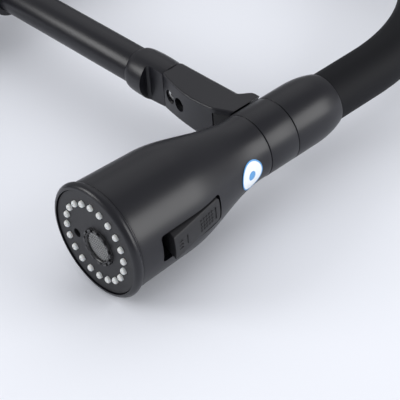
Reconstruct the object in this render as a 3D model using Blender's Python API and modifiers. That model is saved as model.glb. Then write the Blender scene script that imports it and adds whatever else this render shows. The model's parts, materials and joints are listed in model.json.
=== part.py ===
"""Pull-down kitchen faucet with an arched silicone hose and a magnetic docking arm.

Frame: metres, +Z up, +X from the column towards the spray head. The origin is the
centre of the deck hole, on the deck. Handle pieces are drawn about the side boss,
head pieces about the spray head's axis and arm pieces about the docking arm.
"""
import math

import bmesh
import bpy

mm = 0.001
gap = 0.3 * mm                  # clearance kept between fitted pieces
margin = 2 * mm                 # how far a cutter runs past the face it opens
overlap = 1 * mm                # how far one cutter runs into the next

# Layout
reach = 220 * mm                # column axis to spray head axis
face_height = 185 * mm          # spray face above the deck
arm_above_face = 102.3 * mm     # docking arm axis above the spray face
handle_height = 95 * mm         # side boss axis above the deck

# Base, shank and clamp below the deck
gasket_thickness = 1.4 * mm
gasket_radius = 24.5 * mm
flange_radius = 27.5 * mm
flange_height = 6.5 * mm
flange_round = 3 * mm
shank_radius = 16.5 * mm
shank_wall = 3.5 * mm
shank_length = 62 * mm          # below the deck
shank_engagement = 15 * mm      # threaded into the body
deck_thickness = 30 * mm        # worktop that the clamp is drawn for
washer_radius = 27 * mm
rubber_washer_thickness = 3 * mm
steel_washer_thickness = 2 * mm
nut_radius = 26 * mm            # across the corners
nut_height = 12 * mm

# Valve body
body_radius = 20 * mm
body_top = 150 * mm
top_chamfer = 1.2 * mm
riser_pocket_radius = 16 * mm
riser_pocket_floor = 117 * mm
outlet_bore = 3.5 * mm
inlet_spacing = 13 * mm         # between the two inlet axes
inlet_radius = 5.4 * mm
inlet_bore = 1.8 * mm
inlet_spigot = 3 * mm
inlet_spigot_length = 10 * mm
inlet_drop = 8 * mm             # below the deck

# Side boss and cartridge, measured outwards from the column axis
boss_radius = 15.5 * mm
boss_end = 34 * mm
cartridge_radius = 12.5 * mm
cartridge_start = 8.3 * mm
cartridge_end = 28 * mm
cartridge_wall = 1.9 * mm
cartridge_floor = 3 * mm
port_radius = 2.2 * mm
port_circle = 5.5 * mm
disc_thickness = 3 * mm
fixed_disc_radius = 10.3 * mm
moving_disc_radius = 7.4 * mm
disc_socket_radius = 3 * mm
disc_socket_depth = 1.8 * mm
pivot = 24 * mm                 # centre of the stem's pin and of the bonnet's sphere
carrier_radius = 10.2 * mm
carrier_length = 9 * mm
carrier_clearance = 0.7 * mm    # above the moving disc
carrier_slot = (7.2 * mm, 13 * mm)
cartridge_nut_length = 5.2 * mm
cartridge_nut_bore = 8.5 * mm
stem_radius = 3.2 * mm
stem_tip_radius = 1.8 * mm
stem_tip_length = 3 * mm
stem_taper = 1.5 * mm           # from the stem down to its tip
pin_radius = 1.2 * mm
pin_setback = 0.7 * mm          # pin ends inside the carrier

# Bonnet and handle
bonnet_radius = 18.6 * mm
bonnet_wall = 2.4 * mm
bonnet_opening = math.radians(36)
hub_clearance = 0.6 * mm
hub_cover = math.radians(58)
hub_radius = 19 * mm
hub_end = 51.5 * mm
hub_round = 3 * mm
hub_end_wall = 2.2 * mm
lever_axis = 46.5 * mm
lever_root_radius = 3.4 * mm
lever_tip_radius = 3 * mm
lever_root = 9.8 * mm
lever_length = 85 * mm          # from the boss axis to the tip
hub_screw_radius = 1.9 * mm
grub_recess = 0.6 * mm          # how far grub screws sit in
index_radius = 4 * mm
index_thickness = 1.1 * mm

# Riser and hose
riser_radius = 13 * mm
riser_wall = 2 * mm
riser_foot = 119 * mm
riser_above_face = 149 * mm      # its top, above the spray face
trim_ring_height = 4 * mm
bush_length = 22 * mm
seal_radius = 1.1 * mm          # of the O-rings' sections
nipple_plug_length = 12 * mm
nipple_length = 49 * mm
barb_radius = 4.9 * mm
stem_bore = 3.2 * mm
hose_radius = 12.45 * mm
hose_wall = 3.2 * mm
inner_hose_radius = 8.6 * mm
inner_hose_wall = 2.6 * mm
arch_start = 172 * mm           # above the spray face
socket_radius = 16 * mm
socket_length = 30 * mm
socket_grip = 12 * mm           # over the riser's end
socket_web = 2.7 * mm
socket_round = 1.8 * mm
arch_spans = 18

# Arm, sleeve and dock, measured from the head axis
collar_height = 26 * mm
collar_radius = 19 * mm
collar_boss_radius = 12.5 * mm
collar_boss_end = 30 * mm       # from the column axis
collar_chamfer = 1 * mm
collar_screw_radius = 2.5 * mm
arm_seat = 4 * mm               # between the riser and the tube in its socket
arm_radius = 9.4 * mm
arm_wall = 1.5 * mm
sleeve_start = 86.4 * mm
sleeve_end = 62.6 * mm
sleeve_bore_end = 75 * mm
sleeve_end_radius = 11 * mm
sleeve_swell = 0.6 * mm         # how far its middle stands out past its ends
sleeve_lead = 0.4 * mm          # left of the sleeve past the tube at its open end
flat_start = 73.5 * mm
flat_depth = 5.6 * mm           # flat underside below the arm axis
tongue = (10 * mm, 3.4 * mm)    # width and height
tongue_end = 42 * mm
bracket_width = 20.6 * mm
bracket_edge = 0.6 * mm
bracket_round = 5 * mm          # of the two long edges on top
bracket_top = 9.2 * mm          # above the arm axis, at the sleeve
bracket_top_head = 9.5 * mm     # and where the lip starts
bracket_low_head = 9.4 * mm     # underside at the pad, below the arm axis
lead_in = 0.48                  # slope of the underside from the pad's back to the head
lip_start = 24.5 * mm
lip_height = 13 * mm
lip_run = 7 * mm
saddle_radius = 17.3 * mm
pad_radius = 16.45 * mm
pad_back = 23.5 * mm
pad_half_width = 7.2 * mm
pad_top = 8 * mm
magnet_thickness = 5.6 * mm
magnet_half = 6 * mm
screw_places = (56.4 * mm, 48.2 * mm)
screw_head_radius = 3 * mm
screw_head_height = 1.1 * mm
screw_shank_radius = 1.3 * mm
screw_seat = 2.8 * mm           # below the arm axis

# Spray head, heights measured up from the spray face
mouth_radius = 27.1 * mm
neck_radius = 15.95 * mm
bell_taper = 0.035
bell_start = 38 * mm
bell_end = 90 * mm
bell_sections = [height * mm for height in (24, 38, 46, 53, 60, 67, 74, 81, 87)]
shell_foot = 5.3 * mm
shell_top = 92.6 * mm
shell_wall = 2.3 * mm
bead_radius = 2.45 * mm
bead_centre = 25.85 * mm
plate_radius = 25.6 * mm
plate_front = 0.4 * mm
plate_thickness = 2.5 * mm
rim_ledge_bore = 23.4 * mm
rim_spigot_wall = 0.6 * mm
rim_spigot_top = 11 * mm
nozzle_count = 20
nozzle_circle = 19 * mm
nozzle_radius = 1.6 * mm
nozzle_end_radius = 1.1 * mm
nozzle_tip = 0.6 * mm           # past the face
mat_thickness = 1.5 * mm
mat_radius = 23 * mm
aerator_place = (2.5 * mm, 1 * mm)
aerator_radius = 9 * mm
aerator_wall = 1.7 * mm
aerator_tip = 0.9 * mm
aerator_length = 9.4 * mm
aerator_notches = 12
aerator_notch_width = 1.6 * mm
mesh_radius = 7 * mm
mesh_thickness = 0.9 * mm
plate_screw_place = (-12.6 * mm, 1.8 * mm)
plate_screw_head = 1.7 * mm
plate_screw_shank = 1 * mm
plate_screw_head_height = 0.7 * mm
plate_screw_end = 1 * mm        # below the top of the core flange
core_flange_thickness = 4 * mm
core_radius = 11.5 * mm
core_cone_top = 14.5 * mm
core_neck_start = 60 * mm
core_step = 2 * mm
core_neck_radius = 9.8 * mm
core_top = 109 * mm
core_shoulder = (84 * mm, 91 * mm)
core_shoulder_radius = 12.8 * mm
core_channel_radius = 4 * mm
core_channel_offset = 4.2 * mm
core_neck_bore = 6.4 * mm
clip_chamber = (74 * mm, 80 * mm)
clip_chamber_radius = 8.4 * mm

# Rocker, its cradle and the diverter spool
recess_low = 16.8 * mm
recess_high = 54.2 * mm
recess_half_width = 6.9 * mm
rocker_low = 20.8 * mm
rocker_high = 51.8 * mm
rocker_half_width = 6.3 * mm
rocker_rise = 3.6 * mm          # how far its low end stands out
rocker_flush = 0.3 * mm
rocker_floor = 18 * mm          # its inner face, from the head axis
rocker_edge = 0.7 * mm
rocker_pivot = (19.6 * mm, 36.5 * mm)
rocker_boss_radius = 2.6 * mm
rocker_boss_half = 3.4 * mm
rocker_finger = (2.4 * mm, 2.2 * mm)
finger_slot_inset = 6 * mm      # from each end of the spool bore
cradle_back = 12.2 * mm
cradle_floor = 14.6 * mm
cradle_wall = 1.3 * mm
cradle_slot_half = 5 * mm
spool_offset = 5.5 * mm
spool_radius = 2.6 * mm
spool_length = 15 * mm
spool_groove = 3.2 * mm
spool_waist = 1.4 * mm
spool_bore = (23 * mm, 50 * mm)

# Neck collar, swivel and hose nut
ring_wall = 3 * mm
collar_low = 92.9 * mm
collar_high = 110.2 * mm
neck_collar_radius = 16.1 * mm
dock_ring_wall = 2.5 * mm
dock_ring_length = 14 * mm
swivel_radius = 6.1 * mm
swivel_foot = 75 * mm
swivel_flange_radius = 9.6 * mm
swivel_flange = (109.4 * mm, 113 * mm)
swivel_groove = (95 * mm, 97.6 * mm)
swivel_groove_radius = 4.4 * mm
swivel_top = 128 * mm
clip_height = 1.6 * mm
clip_groove_radius = 4.6 * mm
hose_nut_low = 110.5 * mm
hose_nut_top = 141.9 * mm
hose_nut_shoulder = 127 * mm
hose_nut_drop = 2.6 * mm        # how much its radius falls from shoulder to top
hose_nut_bore = 10.2 * mm
hose_seat = 124 * mm
label_radius = 7.3 * mm
label_height = 78.8 * mm
label_thickness = 0.3 * mm
label_lift = 0.12 * mm

steps_head = 32
steps_large = 24
steps_medium = 20
steps_small = 12
nozzle_sides = 6

# Worked out from the values above
riser_top = face_height + riser_above_face
body_foot = gasket_thickness + gap + flange_height + gap
pocket_start = cartridge_start - gap
port_places = [(port_circle * math.cos(a), port_circle * math.sin(a))
               for a in (math.radians(90), math.radians(210), math.radians(330))]
core_low = plate_front + plate_thickness + gap + mat_thickness + gap


def clear_scene():
    for item in list(bpy.data.objects):
        bpy.data.objects.remove(item, do_unlink=True)
    for group in list(bpy.data.collections):
        bpy.data.collections.remove(group)


clear_scene()
faucet = bpy.data.collections.new("pull_down_faucet")
cutters = bpy.data.collections.new("cutters")
for group in (faucet, cutters):
    bpy.context.scene.collection.children.link(group)

finishes = {
    "black_paint": ((0.028, 0.028, 0.033), 0.42, 0.0),
    "black_plastic": ((0.022, 0.022, 0.025), 0.5, 0.0),
    "black_rubber": ((0.018, 0.018, 0.02), 0.75, 0.0),
    "nozzle_silicone": ((0.6, 0.6, 0.59), 0.55, 0.0),
    "steel": ((0.62, 0.62, 0.6), 0.3, 1.0),
    "black_steel": ((0.05, 0.05, 0.055), 0.35, 1.0),
    "brass": ((0.75, 0.56, 0.28), 0.35, 1.0),
    "white_plastic": ((0.82, 0.82, 0.8), 0.45, 0.0),
    "ceramic": ((0.86, 0.85, 0.82), 0.25, 0.0),
    "magnet": ((0.16, 0.16, 0.17), 0.55, 0.6),
    "label": ((0.85, 0.9, 0.94), 0.35, 0.0),
}


def finish(object_name, kind):
    """A Principled material of one finish, made for one object."""
    colour, roughness, metallic = finishes[kind]
    made = bpy.data.materials.new(f"{object_name}_{kind}")
    made.use_nodes = True
    shader = made.node_tree.nodes["Principled BSDF"]
    shader.inputs["Base Color"].default_value = (*colour, 1)
    shader.inputs["Roughness"].default_value = roughness
    shader.inputs["Metallic"].default_value = metallic
    made.diffuse_color = (*colour, 1)
    return made


def frame_at(name, place, turn=(0, 0, 0)):
    """An empty that other pieces are drawn about."""
    empty = bpy.data.objects.new(name, None)
    empty.location = place
    empty.rotation_euler = turn
    faucet.objects.link(empty)
    return empty


head = frame_at("head_frame", (reach, 0, face_height))
handle = frame_at("handle_frame", (0, 0, handle_height), (math.pi / 2, 0, 0))
arm = frame_at("arm_frame", (reach, 0, face_height + arm_above_face), (0, math.pi / 2, 0))


def add(name, mesh, kind, parent=None, place=(0, 0, 0), turn=(0, 0, 0)):
    """Link a mesh as a piece, or as a cutter when it has no finish."""
    item = bpy.data.objects.new(name, mesh)
    item.location = place
    item.rotation_euler = turn
    item.parent = parent
    if kind:
        mesh.materials.append(finish(name, kind))
        faucet.objects.link(item)
    else:
        item.hide_render = True
        item.display_type = "WIRE"
        cutters.objects.link(item)
    return item


def turned(name, kind, outline, parent=None, place=(0, 0, 0), turn=(0, 0, 0),
           closed=False, steps=steps_large):
    """Turn an outline of (radius, height) points about Z. It runs down its outer side."""
    mesh = bpy.data.meshes.new(name)
    count = len(outline)
    edges = [(i, i + 1) for i in range(count - 1)]
    if closed:
        edges.append((count - 1, 0))
    mesh.from_pydata([(radius, 0, height) for radius, height in outline], edges, [])
    item = add(name, mesh, kind, parent, place, turn)
    screw = item.modifiers.new("turn", "SCREW")
    screw.angle = 2 * math.pi
    screw.steps = screw.render_steps = steps
    screw.use_merge_vertices = True
    screw.merge_threshold = 0.00001
    screw.use_normal_calculate = False
    screw.use_smooth_shade = True
    return item


def ring(inner, outer, low, high):
    """Closed outline of a plain ring."""
    return [(outer, high), (outer, low), (inner, low), (inner, high)]


def rod(radius, low, high):
    """Outline of a plain solid cylinder."""
    return [(0, high), (radius, high), (radius, low), (0, low)]


def arc(centre, radius, start, end, count):
    """Points of an arc in an outline; angles run from the outward direction to up."""
    sweep = [start + (end - start) * i / (count - 1) for i in range(count)]
    return [(centre[0] + radius * math.cos(a), centre[1] + radius * math.sin(a)) for a in sweep]


def block(name, kind, low, high, parent=None):
    """A box between two corners."""
    mesh = bpy.data.meshes.new(name)
    shape = bmesh.new()
    bmesh.ops.create_cube(shape, size=1)
    size = [b - a for a, b in zip(low, high)]
    middle = [(a + b) / 2 for a, b in zip(low, high)]
    bmesh.ops.scale(shape, vec=size, verts=shape.verts)
    bmesh.ops.translate(shape, vec=middle, verts=shape.verts)
    shape.to_mesh(mesh)
    shape.free()
    return add(name, mesh, kind, parent)


def drill(name, radius, start, length, axis="Z", parent=None, steps=steps_small):
    """A cylindrical cutter that starts at a point and runs along an axis."""
    turns = {"X": (0, math.pi / 2, 0), "Y": (-math.pi / 2, 0, 0), "Z": (0, 0, 0)}
    return turned(name, None, rod(radius, 0, length), parent, start, turns[axis], steps=steps)


def extruded(name, kind, outline, half_width, parent=None, turn=(math.pi / 2, 0, 0)):
    """A flat outline with the same thickness on both sides of its plane, as a mesh."""
    curve = bpy.data.curves.new(name, "CURVE")
    curve.dimensions = "2D"
    curve.fill_mode = "BOTH"
    curve.extrude = half_width
    spline = curve.splines.new("POLY")
    spline.points.add(len(outline) - 1)
    for point, (across, up) in zip(spline.points, outline):
        point.co = (across, up, 0, 1)
    spline.use_cyclic_u = True
    return meshed(name, kind, curve, parent, turn)


def meshed(name, kind, curve, parent=None, turn=(0, 0, 0)):
    """Make a curve a mesh piece with its caps welded."""
    source = bpy.data.objects.new(name + "_curve", curve)
    faucet.objects.link(source)
    bpy.context.view_layer.update()
    shape = source.evaluated_get(bpy.context.evaluated_depsgraph_get())
    mesh = bpy.data.meshes.new_from_object(shape)
    bpy.data.objects.remove(source, do_unlink=True)
    mesh.materials.clear()
    welded = bmesh.new()
    welded.from_mesh(mesh)
    bmesh.ops.remove_doubles(welded, verts=welded.verts, dist=0.00001)
    bmesh.ops.recalc_face_normals(welded, faces=welded.faces)
    welded.to_mesh(mesh)
    welded.free()
    return add(name, mesh, kind, parent, turn=turn)


def combine(piece, operation, others):
    """Boolean the others with the piece, and put them away with the cutters."""
    for other in others:
        tool = piece.modifiers.new(operation.lower(), "BOOLEAN")
        tool.operation = operation
        tool.solver = "EXACT"
        tool.object = other
        other.hide_render = True
        other.display_type = "WIRE"
        for group in list(other.users_collection):
            group.objects.unlink(other)
        cutters.objects.link(other)
    weld = piece.modifiers.new("weld", "WELD")
    weld.merge_threshold = 0.00001
    return piece


def cut(piece, *others):
    return combine(piece, "DIFFERENCE", others)


def join(piece, *others):
    return combine(piece, "UNION", others)


def round_edges(piece, width, segments=2):
    bevel = piece.modifiers.new("round", "BEVEL")
    bevel.width = width
    bevel.segments = segments
    bevel.limit_method = "ANGLE"
    bevel.angle_limit = math.radians(40)
    return piece


def round_long_edges(piece, height, width, segments=4):
    """Round only the edges at the two sides of a piece, above a height."""
    shape = bmesh.new()
    shape.from_mesh(piece.data)
    bmesh.ops.dissolve_limit(shape, angle_limit=0.001, verts=shape.verts, edges=shape.edges)
    weights = shape.edges.layers.float.new("bevel_weight_edge")
    for edge in shape.edges:
        first, second = [piece.matrix_basis @ vert.co for vert in edge.verts]
        along = abs(first.x - second.x) > abs(first.y - second.y)
        edge[weights] = float(along and min(first.z, second.z) > height)
    shape.to_mesh(piece.data)
    shape.free()
    bevel = piece.modifiers.new("round_long", "BEVEL")
    bevel.width = width
    bevel.segments = segments
    bevel.limit_method = "WEIGHT"
    return piece


# ---- base and clamp ----

def build_base():
    turned("base_gasket", "black_rubber",
           ring(shank_radius + gap, gasket_radius, 0, gasket_thickness), closed=True)
    low = gasket_thickness + gap
    high = low + flange_height
    turned("base_flange", "black_paint", [
        (body_radius, high),
        *arc((flange_radius - flange_round, high - flange_round), flange_round,
             math.pi / 2, 0, 4),
        (flange_radius, low), (shank_radius + gap, low), (shank_radius + gap, high),
    ], closed=True)
    turned("mounting_shank", "brass",
           ring(shank_radius - shank_wall, shank_radius, -shank_length, body_foot + shank_engagement),
           closed=True)
    rubber_top = -deck_thickness
    rubber_low = rubber_top - rubber_washer_thickness
    turned("rubber_washer", "black_rubber",
           ring(shank_radius + gap, washer_radius, rubber_low, rubber_top), closed=True)
    steel_top = rubber_low - gap
    steel_low = steel_top - steel_washer_thickness
    turned("steel_washer", "steel",
           ring(shank_radius + gap, washer_radius, steel_low, steel_top), closed=True)
    nut_top = steel_low - gap
    nut = turned("mounting_nut", "brass", rod(nut_radius, nut_top - nut_height, nut_top), steps=6)
    cut(nut, drill("nut_bore", shank_radius + gap, (0, 0, nut_top - nut_height - margin),
                   nut_height + 2 * margin, steps=steps_large))


def build_valve_body():
    body = turned("valve_body", "black_paint", [
        (0, body_top), (body_radius - top_chamfer, body_top), (body_radius, body_top - top_chamfer),
        (body_radius, body_foot), (0, body_foot),
    ])
    join(body, turned("boss_tool", None, rod(boss_radius, 0, boss_end), handle))
    cut(body,
        drill("cartridge_pocket", cartridge_radius + gap, (0, 0, pocket_start), boss_end,
              parent=handle, steps=steps_large),
        drill("riser_pocket", riser_pocket_radius, (0, 0, riser_pocket_floor),
              body_top - riser_pocket_floor + margin, steps=steps_large),
        drill("shank_pocket", shank_radius + gap, (0, 0, body_foot - margin),
              shank_engagement + margin + gap, steps=steps_large))
    outlet_height = handle_height + port_places[0][1]
    cut(body,
        drill("outlet_riser", outlet_bore, (0, 0, outlet_height - 2 * port_radius),
              riser_pocket_floor - outlet_height + 2 * port_radius + margin),
        drill("outlet_port", port_radius, (*port_places[0], 0), pocket_start + margin,
              parent=handle))
    inlet_top = handle_height + port_places[1][1] + 2 * port_radius
    for side, place in zip((-1, 1), port_places[1:]):
        cut(body,
            drill("inlet_riser", inlet_spigot + gap, (side * inlet_spacing / 2, 0, body_foot),
                  inlet_top - body_foot),
            drill("inlet_port", port_radius, (*place, 0), pocket_start + margin,
                  parent=handle))


def build_inlets():
    seat = body_foot + shank_engagement + gap
    for name, side in (("hot_inlet", -1), ("cold_inlet", 1)):
        turned(name, "brass", [
            (inlet_spigot, seat + inlet_spigot_length), (inlet_spigot, seat - gap),
            (inlet_radius, seat - gap), (inlet_radius, -inlet_drop),
            (inlet_bore, -inlet_drop), (inlet_bore, seat + inlet_spigot_length),
        ], place=(side * inlet_spacing / 2, 0, 0), closed=True, steps=steps_small)


# ---- cartridge and handle ----

def build_cartridge():
    floor = cartridge_start + cartridge_floor
    inner = cartridge_radius - cartridge_wall
    ports = [drill("cartridge_port", port_radius, (*place, cartridge_start - margin),
                   cartridge_floor + 2 * margin, parent=handle) for place in port_places]
    cup = turned("cartridge_body", "white_plastic", [
        (0, floor), (inner, floor), (inner, cartridge_end), (cartridge_radius, cartridge_end),
        (cartridge_radius, cartridge_start), (0, cartridge_start),
    ], handle)
    cut(cup, *ports)
    fixed_low = floor + gap
    fixed_disc = turned("ceramic_disc_fixed", "ceramic",
                        rod(fixed_disc_radius, fixed_low, fixed_low + disc_thickness), handle)
    cut(fixed_disc, *[drill("disc_port", port_radius, (*place, fixed_low - margin),
                            disc_thickness + 2 * margin, parent=handle)
                      for place in port_places])
    moving_low = fixed_low + disc_thickness + gap
    moving_high = moving_low + disc_thickness
    turned("ceramic_disc_moving", "ceramic", [
        (0, moving_high - disc_socket_depth), (disc_socket_radius, moving_high - disc_socket_depth),
        (disc_socket_radius, moving_high), (moving_disc_radius, moving_high),
        (moving_disc_radius, moving_low), (0, moving_low),
    ], handle)
    nut_low = cartridge_end + gap
    turned("cartridge_nut", "brass",
           ring(cartridge_nut_bore, cartridge_radius, nut_low, nut_low + cartridge_nut_length),
           handle, closed=True)
    return moving_high


def build_stem(disc_top):
    carrier_low = disc_top + carrier_clearance
    carrier_high = carrier_low + carrier_length
    carrier = turned("stem_carrier", "white_plastic",
                     rod(carrier_radius, carrier_low, carrier_high), handle)
    slot = block("carrier_slot", None,
                 (-carrier_slot[0] / 2, -carrier_slot[1] / 2, carrier_low - margin),
                 (carrier_slot[0] / 2, carrier_slot[1] / 2, carrier_high + margin), handle)
    cut(carrier, slot, drill("carrier_pin_hole", pin_radius + gap, (-carrier_radius - margin, 0, pivot),
                             2 * (carrier_radius + margin), "X", handle))
    pin_half = carrier_radius - pin_setback
    turned("stem_pin", "steel", rod(pin_radius, -pin_half, pin_half), handle, (0, 0, pivot),
           (0, math.pi / 2, 0), steps=steps_small)
    tip = disc_top - disc_socket_depth + gap
    stem_top = hub_end - hub_end_wall - gap
    stem = turned("stem", "steel", [
        (0, stem_top), (stem_radius, stem_top), (stem_radius, tip + stem_tip_length + stem_taper),
        (stem_tip_radius, tip + stem_tip_length), (stem_tip_radius, tip), (0, tip),
    ], handle, steps=steps_small)
    cut(stem, drill("stem_pin_hole", pin_radius + gap, (-stem_radius - margin, 0, pivot),
                    2 * (stem_radius + margin), "X", handle))


def sphere_angle(radius, height):
    """Angle, from the outward direction to up, of a sphere's point at a height above the pivot."""
    return math.asin((height - pivot) / radius)


def build_bonnet():
    base = boss_end + gap
    inner = bonnet_radius - bonnet_wall
    edge = math.pi / 2 - bonnet_opening
    turned("bonnet", "black_paint", [
        *arc((0, pivot), bonnet_radius, edge, sphere_angle(bonnet_radius, base), 4),
        *arc((0, pivot), inner, sphere_angle(inner, base), edge, 4),
    ], handle, closed=True)


def build_handle():
    inner = bonnet_radius + hub_clearance
    stem_bore_radius = stem_radius + gap
    bore_top = hub_end - hub_end_wall
    rim = math.pi / 2 - hub_cover
    rim_height = pivot + inner * math.sin(rim)
    round_centre = (hub_radius - hub_round, hub_end - hub_round)
    hub = turned("handle_hub", "black_paint", [
        (0, hub_end), *arc(round_centre, hub_round, math.pi / 2, 0, 3),
        (hub_radius, rim_height),
        *arc((0, pivot), inner, rim, math.acos(stem_bore_radius / inner), 5),
        (stem_bore_radius, bore_top), (0, bore_top),
    ], handle)
    cut(hub,
        drill("lever_bore", lever_root_radius + gap, (0, lever_root - gap, lever_axis),
              hub_radius, "Y", handle),
        drill("hub_screw_bore", hub_screw_radius + gap, (0, -hub_radius - margin, lever_axis),
              hub_radius + margin - stem_radius, "Y", handle),
        drill("index_recess", index_radius + gap, (0, 0, hub_end - index_thickness),
              index_thickness + margin, parent=handle))
    tip_round = lever_tip_radius
    turned("handle_lever", "black_paint", [
        *arc((0, lever_length - tip_round), tip_round, math.pi / 2, 0, 4),
        (lever_root_radius, hub_radius), (lever_root_radius, lever_root), (0, lever_root),
    ], handle, (0, 0, lever_axis), (-math.pi / 2, 0, 0), steps=steps_small)
    turned("hub_screw", "black_steel",
           rod(hub_screw_radius, -hub_radius + grub_recess, -stem_radius - gap), handle,
           (0, 0, lever_axis), (-math.pi / 2, 0, 0), steps=steps_small)
    turned("index_cap", "label",
           rod(index_radius, hub_end - index_thickness + gap, hub_end + gap / 2), handle,
           steps=steps_small)


# ---- riser and hose ----

def build_riser():
    outer = riser_pocket_radius - gap
    bush_low = riser_foot + 2 * seal_radius + 2 * gap
    turned("swivel_bush", "white_plastic",
           ring(riser_radius + gap, outer, bush_low, bush_low + bush_length), closed=True)
    middle = (riser_radius + gap + outer) / 2
    turned("swivel_seal", "black_rubber",
           arc((middle, riser_foot + seal_radius), seal_radius, 0, -2 * math.pi, 7)[:-1],
           closed=True, steps=steps_medium)
    ring_low = body_top + gap
    turned("trim_ring", "black_paint",
           [(body_radius - top_chamfer, ring_low + trim_ring_height),
            (body_radius, ring_low + trim_ring_height - top_chamfer), (body_radius, ring_low),
            (riser_radius + gap, ring_low), (riser_radius + gap, ring_low + trim_ring_height)],
           closed=True)
    turned("riser_tube", "black_paint",
           ring(riser_radius - riser_wall, riser_radius, riser_foot, riser_top), closed=True)
    plug = riser_radius - riser_wall - gap
    plug_top = riser_foot + nipple_plug_length
    turned("outlet_nipple", "brass", [
        (barb_radius, riser_foot + nipple_length), (barb_radius, plug_top), (plug, plug_top),
        (plug, riser_foot), (stem_bore, riser_foot), (stem_bore, riser_foot + nipple_length),
    ], closed=True, steps=steps_small)
    web_low = riser_top + gap
    web_high = web_low + socket_web
    low = riser_top - socket_grip
    high = low + socket_length
    lip = hose_radius + gap
    turned("hose_socket", "black_paint", [
        *arc((socket_radius - socket_round, high - socket_round), socket_round, math.pi / 2, 0, 3),
        (socket_radius, low), (riser_radius + gap, low), (riser_radius + gap, web_low),
        (inner_hose_radius + gap, web_low), (inner_hose_radius + gap, web_high),
        (lip, web_high), (lip, high),
    ], closed=True)
    return plug_top, web_high


def hose_route(head_end, column_end):
    """Points up from the head, round the half-circle arch and down to the column."""
    arch_radius = reach / 2
    arch_height = face_height + arch_start
    points = [(reach, 0, face_height + head_end)]
    for i in range(arch_spans + 1):
        turn = math.pi * i / arch_spans
        points.append((arch_radius + arch_radius * math.cos(turn), 0,
                       arch_height + arch_radius * math.sin(turn)))
    points.append((0, 0, column_end))
    return points


def build_hose(name, kind, radius, wall, head_end, column_end, resolution):
    """A hollow hose: an open tube along the route, with its wall inwards."""
    curve = bpy.data.curves.new(name, "CURVE")
    curve.dimensions = "3D"
    curve.bevel_depth = radius
    curve.bevel_resolution = resolution
    curve.use_fill_caps = False
    points = hose_route(head_end, column_end)
    spline = curve.splines.new("POLY")
    spline.points.add(len(points) - 1)
    for point, place in zip(spline.points, points):
        point.co = (*place, 1)
    hose = meshed(name, kind, curve)
    solid = hose.modifiers.new("wall", "SOLIDIFY")
    solid.thickness = wall
    solid.offset = -1
    solid.use_even_offset = True
    return hose


# ---- docking arm ----

def build_arm():
    to_column = -reach
    half = collar_height / 2
    arm_height = face_height + arm_above_face
    collar = turned("arm_collar", "black_paint", [
        (0, half), (collar_radius - collar_chamfer, half), (collar_radius, half - collar_chamfer),
        (collar_radius, collar_chamfer - half), (collar_radius - collar_chamfer, -half), (0, -half),
    ], place=(0, 0, arm_height))
    join(collar, turned("collar_boss", None, rod(collar_boss_radius, to_column + margin,
                                                 to_column + collar_boss_end), arm))
    tube_seat = to_column + riser_radius + arm_seat
    cut(collar,
        drill("collar_bore", riser_radius + gap, (0, 0, arm_height - half - margin),
              collar_height + 2 * margin, steps=steps_large),
        drill("arm_socket", arm_radius + gap, (0, 0, tube_seat), collar_boss_end,
              parent=arm, steps=steps_large),
        drill("collar_screw_bore", collar_screw_radius + gap,
              (-collar_radius - margin, 0, arm_height), margin + collar_radius - riser_radius,
              "X"))
    turned("collar_screw", "black_steel",
           rod(collar_screw_radius, -collar_radius + grub_recess, -riser_radius - gap),
           place=(0, 0, arm_height), turn=(0, math.pi / 2, 0), steps=steps_small)
    turned("arm_tube", "black_paint",
           ring(arm_radius - arm_wall, arm_radius, tube_seat + gap, -sleeve_bore_end - gap), arm,
           closed=True)


def build_sleeve():
    middle = (sleeve_start + sleeve_end) / 2
    half = (sleeve_start - sleeve_end) / 2
    outline = []
    for i in range(7):
        along = 1 - i / 3
        swell = sleeve_swell * (1 - along * along)
        lead = arm_radius + sleeve_lead - sleeve_end_radius if i == 6 else 0
        outline.append((sleeve_end_radius + swell + lead, half * along - middle))
    bore = arm_radius + gap
    sleeve = turned("arm_sleeve", "black_paint", [
        (0, -sleeve_end), *outline, (bore, -sleeve_start), (bore, -sleeve_bore_end),
        (0, -sleeve_bore_end),
    ], arm)
    cut(sleeve, block("sleeve_flat", None, (flat_depth, -3 * arm_radius, -flat_start),
                      (3 * arm_radius, 3 * arm_radius, 0), arm))
    width, height = tongue
    join(sleeve, block("tongue_tool", None, (-height / 2, -width / 2, -sleeve_end - margin),
                       (height / 2, width / 2, -tongue_end), arm))
    cut(sleeve, *[drill("tongue_hole", screw_shank_radius + gap, (-height, 0, -place),
                        2 * height, "X", arm) for place in screw_places])


def dock_underside(inset):
    """Side view of the underside past the pad's back, rising to lead the head in."""
    low = face_height + arm_above_face - bracket_low_head + inset
    return [(reach - pad_back, low), (reach, low + lead_in * pad_back)]


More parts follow.
